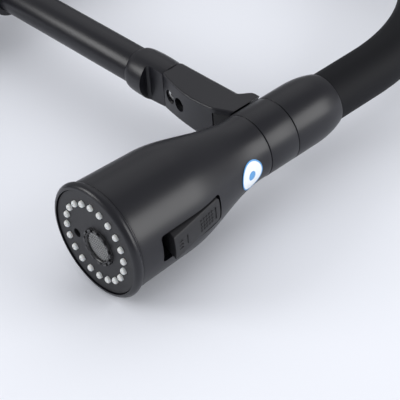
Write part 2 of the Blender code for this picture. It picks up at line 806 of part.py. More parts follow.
def build_bracket():
    axis_height = face_height + arm_above_face
    left = reach - sleeve_end + gap
    underside = []
    for share in (0, 0.25, 0.5, 0.75):
        fall = 1 - (1 - share) ** 2
        underside.append((left + (reach - pad_back - left) * share,
                          axis_height - flat_depth - (bracket_low_head - flat_depth) * fall))
    lip = [(reach - lip_start, axis_height + bracket_top_head)]
    for share in (0.25, 0.5, 0.75, 1):
        rise = share * share * (3 - 2 * share)
        lip.append((reach - lip_start + lip_run * share,
                    axis_height + bracket_top_head + (lip_height - bracket_top_head) * rise))
    outline = [
        *underside, *dock_underside(0), (reach, axis_height + lip_height),
        *reversed(lip), (left, axis_height + bracket_top),
    ]
    bracket = extruded("dock_bracket", "black_paint", outline, bracket_width / 2)
    round_long_edges(bracket, axis_height, bracket_round)
    round_edges(bracket, bracket_edge)
    width, height = tongue
    socket_width = width / 2 + gap
    cut(bracket,
        drill("saddle", saddle_radius, (0, 0, 0), 3 * arm_above_face, parent=head,
              steps=steps_large),
        block("tongue_socket", None, (-height / 2 - gap, -socket_width, -sleeve_end - margin),
              (height / 2 + gap, socket_width, -tongue_end + gap), arm),
        block("pad_pocket", None, (-pad_top - gap, -pad_half_width - gap, -pad_back - gap),
              (2 * bracket_low_head, pad_half_width + gap, 0), arm),
        block("magnet_pocket", None,
              (-magnet_half - gap, -magnet_half - gap, -pad_back - magnet_thickness - 3 * gap),
              (magnet_half + gap, magnet_half + gap, -pad_back), arm))
    cut(bracket, *[drill("screw_counterbore", screw_head_radius + gap, (screw_seat, 0, -place),
                         2 * flat_depth, "X", arm, steps_medium) for place in screw_places])
    cut(bracket, *[drill("screw_hole", screw_shank_radius + gap, (0, 0, -place), 2 * flat_depth,
                         "X", arm) for place in screw_places])


def build_dock_pieces():
    pad_high = face_height + arm_above_face + pad_top
    pad = extruded("dock_pad", "black_rubber",
                   [*dock_underside(gap), (reach, pad_high), (reach - pad_back, pad_high)],
                   pad_half_width)
    cut(pad, drill("pad_saddle", pad_radius, (0, 0, 0), 3 * arm_above_face, parent=head,
                   steps=steps_large))
    magnet_front = -pad_back - gap
    block("dock_magnet", "magnet", (-magnet_half, -magnet_half, magnet_front - magnet_thickness),
          (magnet_half, magnet_half, magnet_front), arm)
    for number, place in enumerate(screw_places, 1):
        head_low = screw_seat + gap
        turned(f"bracket_screw_{number}", "steel", [
            (0, head_low + screw_head_height), (screw_head_radius, head_low + screw_head_height),
            (screw_head_radius, head_low), (screw_shank_radius, head_low),
            (screw_shank_radius, -tongue[1] / 2 + gap), (0, -tongue[1] / 2 + gap),
        ], arm, (0, 0, -place), (0, math.pi / 2, 0), steps=steps_medium)


# ---- spray head ----

def bell_radius(height):
    """Outer radius of the head at a height: a slight taper that eases into the neck."""
    share = min(max((height - bell_start) / (bell_end - bell_start), 0), 1)
    eased = share * share * (3 - 2 * share)
    straight = mouth_radius - bell_taper * height
    return straight + (neck_radius - straight) * eased


def bell_outline(inset, low, high):
    """The bell's side from high to low, moved in by an inset."""
    heights = [high, *[height for height in reversed(bell_sections) if low < height < high], low]
    return [(bell_radius(h) - inset, h) for h in heights]


def build_shell():
    inside = bell_outline(shell_wall, shell_foot, shell_top)
    shell = turned("head_shell", "black_paint",
                   bell_outline(0, shell_foot, shell_top) + list(reversed(inside)), head,
                   closed=True, steps=steps_head)
    cut(shell, block("rocker_window", None, (cradle_back, -recess_half_width, recess_low),
                     (2 * mouth_radius, recess_half_width, recess_high), head))


def build_face():
    spigot = rim_ledge_bore + rim_spigot_wall
    ledge = plate_front + plate_thickness + gap
    bead_top = 2 * bead_radius
    turned("face_rim", "black_paint", [
        (spigot, rim_spigot_top), (spigot, bead_top),
        *arc((bead_centre, bead_radius), bead_radius, math.pi / 2 - 0.15, -math.pi / 2, 6),
        (bead_centre, ledge), (rim_ledge_bore, ledge), (rim_ledge_bore, rim_spigot_top),
    ], head, closed=True, steps=steps_head)
    plate = turned("face_plate", "black_plastic",
                   rod(plate_radius, plate_front, plate_front + plate_thickness), head, steps=steps_head)
    cut(plate,
        drill("aerator_hole", aerator_radius + gap, (*aerator_place, -margin), 4 * margin,
              parent=head, steps=steps_large),
        drill("plate_screw_hole", plate_screw_shank + gap, (*plate_screw_place, -margin),
              4 * margin, parent=head),
        drill("plate_screw_seat", plate_screw_head + gap, (*plate_screw_place, -margin),
              margin + plate_front + plate_thickness / 2, parent=head, steps=steps_medium))
    for x, y in nozzle_places():
        cut(plate, drill("nozzle_hole", nozzle_radius + gap, (x, y, -margin), 4 * margin,
                         parent=head, steps=nozzle_sides))


def nozzle_places():
    angles = [2 * math.pi * i / nozzle_count for i in range(nozzle_count)]
    return [(nozzle_circle * math.cos(a), nozzle_circle * math.sin(a)) for a in angles]


def build_mat():
    low = plate_front + plate_thickness + gap
    mat = turned("nozzle_mat", "nozzle_silicone", rod(mat_radius, low, low + mat_thickness), head)
    for x, y in nozzle_places():
        join(mat, turned("nozzle_tool", None, [
            (0, low + mat_thickness / 2), (nozzle_radius, low + mat_thickness / 2),
            (nozzle_radius, 0), (nozzle_end_radius, -nozzle_tip), (0, -nozzle_tip),
        ], head, (x, y, 0), steps=nozzle_sides))
    cut(mat,
        drill("mat_hole", aerator_radius + 2 * gap, (*aerator_place, 0), 4 * margin,
              parent=head, steps=steps_large),
        drill("mat_screw_hole", plate_screw_shank + 2 * gap, (*plate_screw_place, 0),
              4 * margin, parent=head))


def build_aerator():
    place = (*aerator_place, 0)
    inner = aerator_radius - aerator_wall
    top = aerator_length - aerator_tip
    housing = turned("aerator_housing", "black_plastic",
                     ring(inner, aerator_radius, -aerator_tip, top), head, place,
                     closed=True, steps=steps_medium)
    for i in range(aerator_notches // 2):
        notch = block("aerator_notch", None,
                      (-2 * aerator_radius, -aerator_notch_width / 2, -2 * aerator_tip),
                      (2 * aerator_radius, aerator_notch_width / 2, 0), head)
        notch.location = place
        notch.rotation_euler = (0, 0, math.pi * i / (aerator_notches // 2))
        cut(housing, notch)
    turned("aerator_mesh", "steel", rod(mesh_radius, plate_front, plate_front + mesh_thickness),
           head, place)
    seat = plate_front + plate_thickness / 2 - gap
    screw_end = core_low + core_flange_thickness - plate_screw_end
    screw_face = seat - plate_screw_head_height
    turned("plate_screw", "black_steel", [
        (0, screw_end), (plate_screw_shank, screw_end), (plate_screw_shank, seat),
        (plate_screw_head, seat), (plate_screw_head, screw_face), (0, screw_face),
    ], head, (*plate_screw_place, 0), steps=steps_medium)


def build_core():
    flange_top = core_low + core_flange_thickness
    shoulder_low, shoulder_high = core_shoulder
    core = turned("spray_core", "white_plastic", [
        (0, core_top), (core_neck_radius, core_top), (core_neck_radius, shoulder_high),
        (core_shoulder_radius, shoulder_high), (core_shoulder_radius, shoulder_low),
        (core_neck_radius, shoulder_low), (core_neck_radius, core_neck_start),
        (core_radius, core_neck_start - core_step), (core_radius, core_cone_top),
        (mat_radius, flange_top), (mat_radius, core_low), (0, core_low),
    ], head)
    chamber_low, chamber_high = clip_chamber
    aerator_top = aerator_length - aerator_tip + gap
    cut(core,
        drill("aerator_pocket", aerator_radius + gap, (*aerator_place, core_low - margin),
              aerator_top - core_low + margin, parent=head, steps=steps_large),
        drill("water_channel", core_channel_radius, (-core_channel_offset, 0, aerator_top - overlap),
              chamber_low - aerator_top + overlap + margin, parent=head),
        drill("neck_bore", core_neck_bore, (0, 0, chamber_high - margin),
              core_top - chamber_high + 2 * margin, parent=head),
        drill("clip_chamber", clip_chamber_radius, (0, 0, chamber_low),
              chamber_high - chamber_low, parent=head),
        drill("plate_screw_thread", plate_screw_shank + gap,
              (*plate_screw_place, core_low - margin), margin + core_flange_thickness - gap,
              parent=head),
        drill("spool_bore", spool_radius + gap, (spool_offset, 0, spool_bore[0]),
              spool_bore[1] - spool_bore[0], parent=head),
        block("finger_slot", None,
              (spool_offset, -rocker_finger[0] / 2 - gap, spool_bore[0] + finger_slot_inset),
              (2 * core_radius, rocker_finger[0] / 2 + gap, spool_bore[1] - finger_slot_inset), head))


def build_rocker():
    pivot_x, pivot_z = rocker_pivot
    finger_width, finger_height = rocker_finger
    low_face = bell_radius(rocker_low) + rocker_rise
    high_face = bell_radius(rocker_high) + rocker_flush
    outline = [(rocker_floor, rocker_low), (low_face, rocker_low), (high_face, rocker_high),
               (rocker_floor, rocker_high)]
    button = extruded("rocker_button", "black_plastic", outline, rocker_half_width, head)
    round_edges(button, rocker_edge, 1)
    boss = drill("rocker_boss", rocker_boss_radius, (pivot_x, -rocker_boss_half, pivot_z),
                 2 * rocker_boss_half, "Y", head, steps_medium)
    finger = block("rocker_finger", None,
                   (spool_offset + spool_waist + gap, -finger_width / 2,
                    pivot_z - finger_height / 2),
                   (pivot_x, finger_width / 2, pivot_z + finger_height / 2), head)
    join(button, boss, finger)
    cut(button, drill("rocker_pin_hole", pin_radius + gap, (pivot_x, -2 * recess_half_width, pivot_z),
                      4 * recess_half_width, "Y", head))
    pin_half = recess_half_width + cradle_wall - gap
    turned("rocker_pin", "steel", rod(pin_radius, -pin_half, pin_half), head,
           (pivot_x, 0, pivot_z), (-math.pi / 2, 0, 0), steps=steps_small)


def build_cradle():
    outer = recess_half_width + cradle_wall
    low, high = recess_low - cradle_wall, recess_high + cradle_wall
    cradle = block("rocker_cradle", "black_plastic", (cradle_back, -outer, low),
                   (mouth_radius, outer, high), head)
    limit = turned("cradle_limit", None, [
        (0, high + margin), *bell_outline(shell_wall + gap, low - margin, high + margin),
        (0, low - margin)], head, steps=steps_head)
    combine(cradle, "INTERSECT", [limit])
    pivot_x, pivot_z = rocker_pivot
    slot = rocker_finger[0] / 2 + 2 * gap
    cut(cradle,
        block("cradle_tray", None, (cradle_floor, -recess_half_width + gap, recess_low),
              (2 * mouth_radius, recess_half_width - gap, recess_high), head),
        block("cradle_slot", None, (0, -slot, pivot_z - cradle_slot_half),
              (mouth_radius, slot, pivot_z + cradle_slot_half), head),
        drill("cradle_pin_hole", pin_radius + gap, (pivot_x, -2 * outer, pivot_z), 4 * outer,
              "Y", head))


def build_spool():
    middle = rocker_pivot[1]
    half, groove = spool_length / 2, spool_groove / 2
    turned("diverter_spool", "white_plastic", [
        (0, middle + half), (spool_radius, middle + half), (spool_radius, middle + groove),
        (spool_waist, middle + groove), (spool_waist, middle - groove),
        (spool_radius, middle - groove), (spool_radius, middle - half), (0, middle - half),
    ], head, (spool_offset, 0, 0), steps=steps_medium)


def build_neck():
    inner = neck_collar_radius - ring_wall
    turned("neck_collar", "black_paint",
           ring(inner, neck_collar_radius, collar_low, collar_high), head, closed=True, steps=steps_head)
    ring_outer = inner - gap
    turned("dock_ring", "steel",
           ring(ring_outer - dock_ring_wall, ring_outer, collar_low + gap,
                collar_low + gap + dock_ring_length), head, closed=True)


def build_swivel():
    flange_low, flange_high = swivel_flange
    groove_low, groove_high = swivel_groove
    clip_low = clip_chamber[1] - gap - clip_height
    clip_high = clip_low + clip_height
    turned("swivel_stem", "brass", [
        (barb_radius, swivel_top), (barb_radius, flange_high), (swivel_flange_radius, flange_high),
        (swivel_flange_radius, flange_low), (swivel_radius, flange_low),
        (swivel_radius, groove_high), (swivel_groove_radius, groove_high),
        (swivel_groove_radius, groove_low), (swivel_radius, groove_low),
        (swivel_radius, clip_high + gap), (clip_groove_radius, clip_high + gap),
        (clip_groove_radius, clip_low - gap), (swivel_radius, clip_low - gap),
        (swivel_radius, swivel_foot), (stem_bore, swivel_foot), (stem_bore, swivel_top),
    ], head, closed=True, steps=steps_medium)
    turned("stem_clip", "steel",
           ring(clip_groove_radius + gap, clip_chamber_radius - 2 * gap, clip_low, clip_high),
           head, closed=True, steps=steps_medium)
    seal_middle = (swivel_groove_radius + core_neck_bore) / 2
    section = (core_neck_bore - swivel_groove_radius) / 2 - gap
    turned("stem_seal", "black_rubber",
           arc((seal_middle, (groove_low + groove_high) / 2), section, 0, -2 * math.pi, 7)[:-1],
           head, closed=True, steps=steps_medium)
    bore = hose_radius + gap
    curve = []
    for i in range(6):
        share = 1 - i / 5
        height = hose_nut_shoulder + (hose_nut_top - hose_nut_shoulder) * share
        curve.append((neck_collar_radius - hose_nut_drop * share * share, height))
    turned("hose_nut", "black_paint", [
        *curve, (neck_collar_radius, hose_nut_low), (hose_nut_bore, hose_nut_low),
        (hose_nut_bore, hose_seat), (bore, hose_seat), (bore, hose_nut_top),
    ], head, closed=True, steps=steps_head)


def build_label():
    low, high = label_height - 2 * label_radius, label_height + 2 * label_radius
    high = min(high, shell_top)
    outside = bell_outline(-label_lift - label_thickness, low, high)
    inside = bell_outline(-label_lift, low, high)
    label = turned("label", "label", outside + list(reversed(inside)), head, closed=True, steps=steps_head)
    disc = drill("label_disc", label_radius, (0, 0, label_height), 2 * mouth_radius, "X", head, steps_large)
    combine(label, "INTERSECT", [disc])


build_base()
build_valve_body()
build_inlets()
moving_disc_top = build_cartridge()
build_stem(moving_disc_top)
build_bonnet()
build_handle()
nipple_top, hose_floor = build_riser()
build_hose("hose_sleeve", "black_rubber", hose_radius, hose_wall, hose_seat + gap,
           hose_floor + gap, 3)
build_hose("inner_hose", "white_plastic", inner_hose_radius, inner_hose_wall,
           swivel_flange[1] + gap, nipple_top + gap, 2)
build_arm()
build_sleeve()
build_bracket()
build_dock_pieces()
build_shell()
build_face()
build_mat()
build_aerator()
build_core()
build_rocker()
build_cradle()
build_spool()
build_neck()
build_swivel()
build_label()
bpy.context.view_layer.update()
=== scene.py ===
import json
import math
import re

import bmesh
import bpy
from mathutils import Matrix, Vector

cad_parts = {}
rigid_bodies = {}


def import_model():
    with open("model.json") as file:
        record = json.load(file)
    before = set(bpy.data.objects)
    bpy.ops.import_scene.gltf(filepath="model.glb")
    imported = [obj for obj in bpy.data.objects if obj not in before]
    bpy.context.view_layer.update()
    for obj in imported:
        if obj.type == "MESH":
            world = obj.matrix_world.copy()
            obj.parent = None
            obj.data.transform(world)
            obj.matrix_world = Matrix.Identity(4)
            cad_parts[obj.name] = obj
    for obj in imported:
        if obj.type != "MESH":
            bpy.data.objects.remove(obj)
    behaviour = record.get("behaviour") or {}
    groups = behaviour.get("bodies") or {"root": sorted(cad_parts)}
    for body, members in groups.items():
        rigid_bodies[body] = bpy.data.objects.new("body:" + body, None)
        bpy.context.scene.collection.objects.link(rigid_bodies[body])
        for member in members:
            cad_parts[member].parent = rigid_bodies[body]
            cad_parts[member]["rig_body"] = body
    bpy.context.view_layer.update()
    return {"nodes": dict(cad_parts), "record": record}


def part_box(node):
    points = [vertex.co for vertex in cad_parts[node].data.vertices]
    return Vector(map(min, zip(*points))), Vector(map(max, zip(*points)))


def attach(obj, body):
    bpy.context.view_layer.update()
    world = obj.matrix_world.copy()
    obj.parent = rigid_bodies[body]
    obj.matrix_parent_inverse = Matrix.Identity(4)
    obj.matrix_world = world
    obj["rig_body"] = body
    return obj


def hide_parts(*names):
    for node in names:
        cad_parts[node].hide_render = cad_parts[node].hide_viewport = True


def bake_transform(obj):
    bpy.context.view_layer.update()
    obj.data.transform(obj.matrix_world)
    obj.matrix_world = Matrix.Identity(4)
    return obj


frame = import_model()
nodes = frame["nodes"]
slotOf = {part["node"]: part["material_slot"] for part in frame["record"]["subparts"]}
mm = 0.001  # the pieces' own values are in millimetres
fullTurn = 2 * math.pi
sharpAngle = 32  # edges that turn by more than this stay crisp, in degrees


def middle(node):
    low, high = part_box(node)
    return (low + high) / 2


def shift(x=0, y=0, z=0):
    return Matrix.Translation((x * mm, y * mm, z * mm))


def quarterTurn(axis, way=1):
    return Matrix.Rotation(way * math.pi / 2, 4, axis)


# each group of pieces is drawn about its own axis, with heights along local Z
faceFront = 0.4  # face plate ahead of height 0 of the spray head
column = Matrix()
headAxis = Matrix.Translation((middle("neck_collar").x, 0,
                               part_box("face_plate")[0].z - faceFront * mm))
armAxis = (Matrix.Translation((middle("neck_collar").x, 0, middle("arm_tube").z))
           @ quarterTurn("Y"))
handleAxis = Matrix.Translation((0, 0, middle("cartridge_nut").z)) @ quarterTurn("X")
reach = middle("neck_collar").x / mm
armHeight = middle("arm_tube").z / mm


def fromHead(node):
    # the middle of a node from the spray head's axis and face
    return (middle(node) - headAxis.translation) / mm


print("frame loaded, reach", round(reach), "mm")


# shaping helpers

def makePiece(name, bm, place=None, sharp=sharpAngle):
    if place:
        bmesh.ops.transform(bm, matrix=place, verts=bm.verts)
    mesh = bpy.data.meshes.new(name)
    bm.to_mesh(mesh)
    bm.free()
    mesh.shade_smooth()
    mesh.set_sharp_from_angle(angle=math.radians(sharp))
    piece = bpy.data.objects.new(name, mesh)
    bpy.context.scene.collection.objects.link(piece)
    return piece


def easeIn(share):
    share = min(max(share, 0), 1)
    return share * share * (3 - 2 * share)


def roundEdges(bm, edges, width, segments=3):
    bmesh.ops.bevel(bm, geom=edges, offset=width * mm, offset_type="OFFSET", segments=segments,
                    profile=0.5, affect="EDGES", material=-1, clamp_overlap=True)


def roundCorner(bm, vert, width, segments):
    bmesh.ops.bevel(bm, geom=[vert], offset=width * mm, offset_type="OFFSET",
                    segments=segments, profile=0.5, affect="VERTICES", material=-1)


def outline(bm, corners, segments=3):
    # corners are (radius, height) or (radius, height, rounding); a first one on the axis leaves
    # the outline open
    verts = [bm.verts.new((corner[0] * mm, 0, corner[1] * mm)) for corner in corners]
    pairs = list(zip(verts, verts[1:]))
    if corners[0][0] > 0:
        pairs.append((verts[-1], verts[0]))
    for pair in pairs:
        bm.edges.new(pair)
    for corner, vert in zip(corners, verts):
        if len(corner) > 2:
            roundCorner(bm, vert, corner[2], segments)


def spinOutline(bm, steps):
    bmesh.ops.spin(bm, geom=bm.verts[:] + bm.edges[:], cent=(0, 0, 0), axis=(0, 0, 1),
                   dvec=(0, 0, 0), angle=fullTurn, steps=steps, use_merge=True)
    bmesh.ops.remove_doubles(bm, verts=bm.verts, dist=0.002 * mm)
    bmesh.ops.recalc_face_normals(bm, faces=bm.faces)


def turned(name, corners, place=column, steps=96, segments=3):
    bm = bmesh.new()
    outline(bm, corners, segments)
    spinOutline(bm, steps)
    return makePiece(name, bm, place)


def rod(radius, low, high, edge=0.2):
    return [(0, high), (radius, high, edge), (radius, low, edge), (0, low)]


def tubeWall(inner, outer, low, high, edge=0.2):
    return [(outer, high, edge), (outer, low, edge), (inner, low, edge), (inner, high, edge)]


def cylinder(name, radius, low, high, place=column, steps=48):
    return turned(name, [(0, high), (radius, high), (radius, low), (0, low)], place, steps)


def edgeAxis(side):
    run = side.verts[1].co - side.verts[0].co
    return "XYZ"[max(range(3), key=lambda i: abs(run[i]))]


def slab(name, low, high, place=column, edge=0, along="XYZ", segments=3):
    bm = bmesh.new()
    bmesh.ops.create_cube(bm, size=1)
    size = [(b - a) * mm for a, b in zip(low, high)]
    centre = [(a + b) / 2 * mm for a, b in zip(low, high)]
    bmesh.ops.scale(bm, vec=size, verts=bm.verts)
    bmesh.ops.translate(bm, vec=centre, verts=bm.verts)
    if edge:
        roundEdges(bm, [side for side in bm.edges if edgeAxis(side) in along], edge, segments)
    return makePiece(name, bm, place)


def reshape(piece, kind, **settings):
    step = piece.modifiers.new(kind.lower(), kind)
    for key, value in settings.items():
        setattr(step, key, value)
    bpy.context.view_layer.update()
    shaped = piece.evaluated_get(bpy.context.evaluated_depsgraph_get())
    mesh = bpy.data.meshes.new_from_object(shaped)
    piece.modifiers.clear()
    piece.data = mesh
    mesh.set_sharp_from_angle(angle=math.radians(sharpAngle))
    return piece


def carve(piece, *tools, operation="DIFFERENCE"):
    for tool in tools:
        reshape(piece, "BOOLEAN", operation=operation, solver="EXACT", object=tool)
        bpy.data.objects.remove(tool)
    return piece


def merge(piece, *others):
    return carve(piece, *others, operation="UNION")


def softenEdges(piece, width, angle=50, segments=2):
    reshape(piece, "BEVEL", width=width * mm, segments=segments, limit_method="ANGLE",
            angle_limit=math.radians(angle), use_clamp_overlap=True, miter_outer="MITER_ARC")
    return reshape(piece, "WEIGHTED_NORMAL", weight=100, keep_sharp=True)


def standFor(piece, node, look=None):
    piece.data.materials.clear()
    piece.data.materials.append(looks[look or slotOf[node]])
    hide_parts(node)


def stand(piece, node=None, look=None):
    # a piece stands for the node of the same name and looks as its slot says, unless told
    node = node or re.sub("([A-Z]|[0-9]+)", r"_\1", piece.name).lower()
    standFor(piece, node, look)
    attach(piece, nodes[node]["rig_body"])


# materials

class Signal:  # a shader socket that sums and products can be written with
    def __init__(self, tree, socket=None):
        self.tree = tree
        self.socket = socket

    def node(self, kind, settings=None, inputs=None, output=0):
        made = self.tree.nodes.new("ShaderNode" + kind)
        for key, value in (settings or {}).items():
            setattr(made, key, value)
        for key, value in (inputs or {}).items():
            self.feed(made.inputs[key], value)
        return Signal(self.tree, made.outputs[output])

    def feed(self, target, value):
        if isinstance(value, Signal):
            self.tree.links.new(value.socket, target)
        else:
            target.default_value = value

    def maths(self, operation, *values):
        return self.node("Math", {"operation": operation}, dict(enumerate(values)))

    def __add__(self, other):
        return self.maths("ADD", self, other)

    def __radd__(self, other):
        return self.maths("ADD", other, self)

    def __mul__(self, other):
        return self.maths("MULTIPLY", self, other)

    def __rmul__(self, other):
        return self.maths("MULTIPLY", other, self)

    def __gt__(self, other):
        return self.maths("GREATER_THAN", self, other)

    def __lt__(self, other):
        return self.maths("LESS_THAN", self, other)


def startLook(name):
    look = bpy.data.materials.new(name)
    look.use_nodes = True
    shader = look.node_tree.nodes["Principled BSDF"]
    start = Signal(look.node_tree)
    return look, start, shader


def noise(start, spot, size, detail=3, roughness=0.55):
    # size is the width of the blotches in millimetres
    return start.node("TexNoise", None, {"Vector": spot, "Scale": 1000 / size, "Detail": detail,
                                         "Roughness": roughness})


def blendColours(start, share, first, second):
    return start.node("Mix", {"data_type": "RGBA"}, {0: share, 6: (*first, 1), 7: (*second, 1)},
                      output=2)


def finishLook(start, shader, values, height=None, depth=0.01):
    for key, value in values.items():
        start.feed(shader.inputs[key], value)
    if height is not None:
        bump = start.node("Bump", None, {"Strength": 1, "Distance": depth * mm, "Height": height})
        start.feed(shader.inputs["Normal"], bump)


# dark and light are the two ends of a finish's colour, spread is how far its roughness strays,
# grain the width of its texture and depth how deep that is, both in millimetres
grainedFinishes = {
    "black_paint": {
        "name": "satin_black_paint", "dark": (0.0072, 0.0072, 0.0102),
        "light": (0.0108, 0.011, 0.0152), "roughness": 0.33, "spread": 0.035, "grain": 0.35,
        "depth": 0.005, "fixed": {"Specular IOR Level": 0.42}},
    "black_plastic": {
        "name": "moulded_black_plastic", "dark": (0.0135, 0.0135, 0.0155),
        "light": (0.0215, 0.0215, 0.024), "roughness": 0.47, "spread": 0.05, "grain": 0.22,
        "depth": 0.012, "fixed": {"Specular IOR Level": 0.35}},
    "black_rubber": {
        "name": "black_silicone_rubber", "dark": (0.0038, 0.004, 0.0056),
        "light": (0.0062, 0.0065, 0.0087), "roughness": 0.63, "spread": 0.05, "grain": 0.3,
        "depth": 0.014, "fixed": {"Specular IOR Level": 0.2}},
    "nozzle_silicone": {
        "name": "grey_nozzle_silicone", "dark": (0.72, 0.72, 0.71), "light": (0.84, 0.84, 0.83),
        "roughness": 0.5, "spread": 0.05, "grain": 0.4, "depth": 0.008,
        "fixed": {"Subsurface Weight": 0.05}},
    "aerator_plastic": {
        "name": "glossy_black_plastic", "dark": (0.028, 0.028, 0.03),
        "light": (0.042, 0.042, 0.045), "roughness": 0.26, "spread": 0.05, "grain": 0.25,
        "depth": 0.008},
    "pad_rubber": {
        "name": "dock_pad_rubber", "dark": (0.011, 0.011, 0.0125), "light": (0.017, 0.017, 0.019),
        "roughness": 0.5, "spread": 0.05, "grain": 0.3, "depth": 0.01},
    "white_plastic": {
        "name": "white_acetal", "dark": (0.74, 0.74, 0.72), "light": (0.84, 0.84, 0.82),
        "roughness": 0.45, "spread": 0.05, "grain": 0.3, "depth": 0.01},
    "ceramic": {
        "name": "lapped_ceramic", "dark": (0.8, 0.79, 0.76), "light": (0.88, 0.87, 0.84),
        "roughness": 0.22, "spread": 0.04, "grain": 0.5, "depth": 0.003},
    "magnet": {
        "name": "sintered_magnet", "dark": (0.12, 0.12, 0.13), "light": (0.2, 0.2, 0.21),
        "roughness": 0.5, "spread": 0.08, "grain": 0.25, "depth": 0.02,
        "fixed": {"Metallic": 0.7}},
}
# stretch draws the brushed streaks out along the axis where it is small
brushedFinishes = {
    "steel": {"name": "brushed_steel", "dark": (0.52, 0.52, 0.51), "light": (0.68, 0.68, 0.67),
              "roughness": 0.3, "stretch": (1, 1, 0.15)},
    "black_steel": {"name": "blackened_steel", "dark": (0.03, 0.03, 0.032),
                    "light": (0.07, 0.07, 0.073), "roughness": 0.42, "stretch": (1, 1, 0.2)},
    "brass": {"name": "machined_brass", "dark": (0.62, 0.44, 0.2), "light": (0.8, 0.6, 0.32),
              "roughness": 0.34, "stretch": (0.3, 0.3, 3)},
}


def grainedLook(finish):
    look, start, shader = startLook(finish["name"])
    spot = start.node("TexCoord", output="Object")
    cloud = noise(start, spot, 22, 4)
    fine = noise(start, spot, finish["grain"], 2, 0.6)
    share = cloud * 0.6 + fine * 0.4
    least = finish["roughness"] - finish["spread"]
    values = {"Base Color": blendColours(start, share, finish["dark"], finish["light"]),
              "Roughness": least + 2 * finish["spread"] * share,
              **finish.get("fixed", {})}
    finishLook(start, shader, values, fine + cloud * 0.5, finish["depth"])
    return look


def brushedLook(finish):
    look, start, shader = startLook(finish["name"])
    spot = start.node("TexCoord", output="Object")
    scaled = start.node("Mapping", None, {"Vector": spot, "Scale": finish["stretch"]})
    streaks = noise(start, scaled, 1.2, 5, 0.65)
    cloud = noise(start, spot, 9, 3)
    share = streaks * 0.7 + cloud * 0.3
    values = {"Base Color": blendColours(start, share, finish["dark"], finish["light"]),
              "Roughness": finish["roughness"] - 0.1 + 0.2 * share, "Metallic": 1}
    finishLook(start, shader, values, streaks, 0.008)
    return look


labelPrint = {"dot": 2.3, "ring": 6.65, "blue": (0.1, 0.34, 0.7), "white": (0.83, 0.88, 0.92),
    "whitest": (0.9, 0.93, 0.96)}
indexPrint = {"hot": (0.55, 0.03, 0.03), "cold": (0.03, 0.14, 0.5)}


def labelLook():
    # white print with a thin blue ring and a blue dot
    look, start, shader = startLook("label_print")
    spot = start.node("TexCoord", output="Object")
    centre = middle("label")
    offset = start.node("VectorMath", {"operation": "SUBTRACT"},
                        {0: spot, 1: (0, centre.y, centre.z)})
    flat = start.node("VectorMath", {"operation": "MULTIPLY"}, {0: offset, 1: (0, 1, 1)})
    radius = start.node("VectorMath", {"operation": "LENGTH"}, {0: flat}, output="Value")
    blue = (radius < labelPrint["dot"] * mm) + (radius > labelPrint["ring"] * mm)
    weave = noise(start, spot, 3, 2)
    white = blendColours(start, weave, labelPrint["white"], labelPrint["whitest"])
    colour = start.node("Mix", {"data_type": "RGBA"},
                        {0: blue, 6: white, 7: (*labelPrint["blue"], 1)}, output=2)
    finishLook(start, shader, {"Base Color": colour, "Roughness": 0.3 + 0.1 * weave,
                               "Coat Weight": 0.3})
    return look


def indexLook():
    # hot and cold halves on the end of the handle
    look, start, shader = startLook("index_print")
    spot = start.node("TexCoord", output="Object")
    side = start.node("SeparateXYZ", None, {0: spot})
    weave = noise(start, spot, 2, 2)
    colour = blendColours(start, side > 0, indexPrint["hot"], indexPrint["cold"])
    finishLook(start, shader, {"Base Color": colour, "Roughness": 0.28 + 0.12 * weave})
    return look


looks = {slot: grainedLook(finish) for slot, finish in grainedFinishes.items()}
looks.update({slot: brushedLook(finish) for slot, finish in brushedFinishes.items()})
looks.update({"label": labelLook(), "index": indexLook()})
for nodeName, cadNode in nodes.items():
    for materialSlot in cadNode.material_slots:
        materialSlot.material = looks[slotOf[nodeName]]
print("materials made:", len(looks))


# spray head, heights above the spray face

shell = {"mouth": 27.1, "neck": 15.95, "taper": 0.035, "bellStart": 38, "bellEnd": 90,
    "foot": 5.05, "top": 92.6, "wall": 2.3, "edge": 0.15, "sections": 46}
window = {"low": 16.8, "high": 54.2, "halfWidth": 7.1, "corner": 1.6, "depth": 12}


def bellRadius(height):
    share = (height - shell["bellStart"]) / (shell["bellEnd"] - shell["bellStart"])
    straight = shell["mouth"] - shell["taper"] * height
    return straight + (shell["neck"] - straight) * easeIn(share)


def makeShell():
    rise = (shell["top"] - shell["foot"]) / (shell["sections"] - 1)
    heights = [shell["foot"] + rise * i for i in range(shell["sections"])]
    outside = [(bellRadius(h), h) for h in reversed(heights)]
    inside = [(bellRadius(h) - shell["wall"], h) for h in heights]
    for side in (outside, inside):
        side[0] = (*side[0], shell["edge"])
        side[-1] = (*side[-1], shell["edge"])
    piece = turned("headShell", outside + inside, headAxis, 144)
    cutter = slab("windowCutter", (window["depth"], -window["halfWidth"], window["low"]),
                  (2 * shell["mouth"], window["halfWidth"], window["high"]), headAxis,
                  window["corner"], "X", 6)
    stand(carve(piece, cutter))


rim = {"spigot": [(24, 11), (24, 5), (26.85, 5)], "seat": [(25.9, 0.25), (25.9, 3.2)],
    "bore": [(23.4, 3.2), (23.4, 11)], "beadCentre": 25.85, "beadRadius": 2.45, "beadPoints": 18,
    "beadStart": 26.85}


def makeRim():
    firstTurn = math.acos((rim["beadStart"] - rim["beadCentre"]) / rim["beadRadius"])
    bead = []
    for i in range(rim["beadPoints"]):
        turn = firstTurn - (firstTurn + math.pi / 2) * i / (rim["beadPoints"] - 1)
        bead.append((rim["beadCentre"] + rim["beadRadius"] * math.cos(turn),
                     rim["beadRadius"] * (1 + math.sin(turn))))
    stand(turned("faceRim", rim["spigot"] + bead + rim["seat"] + rim["bore"], headAxis, 144))


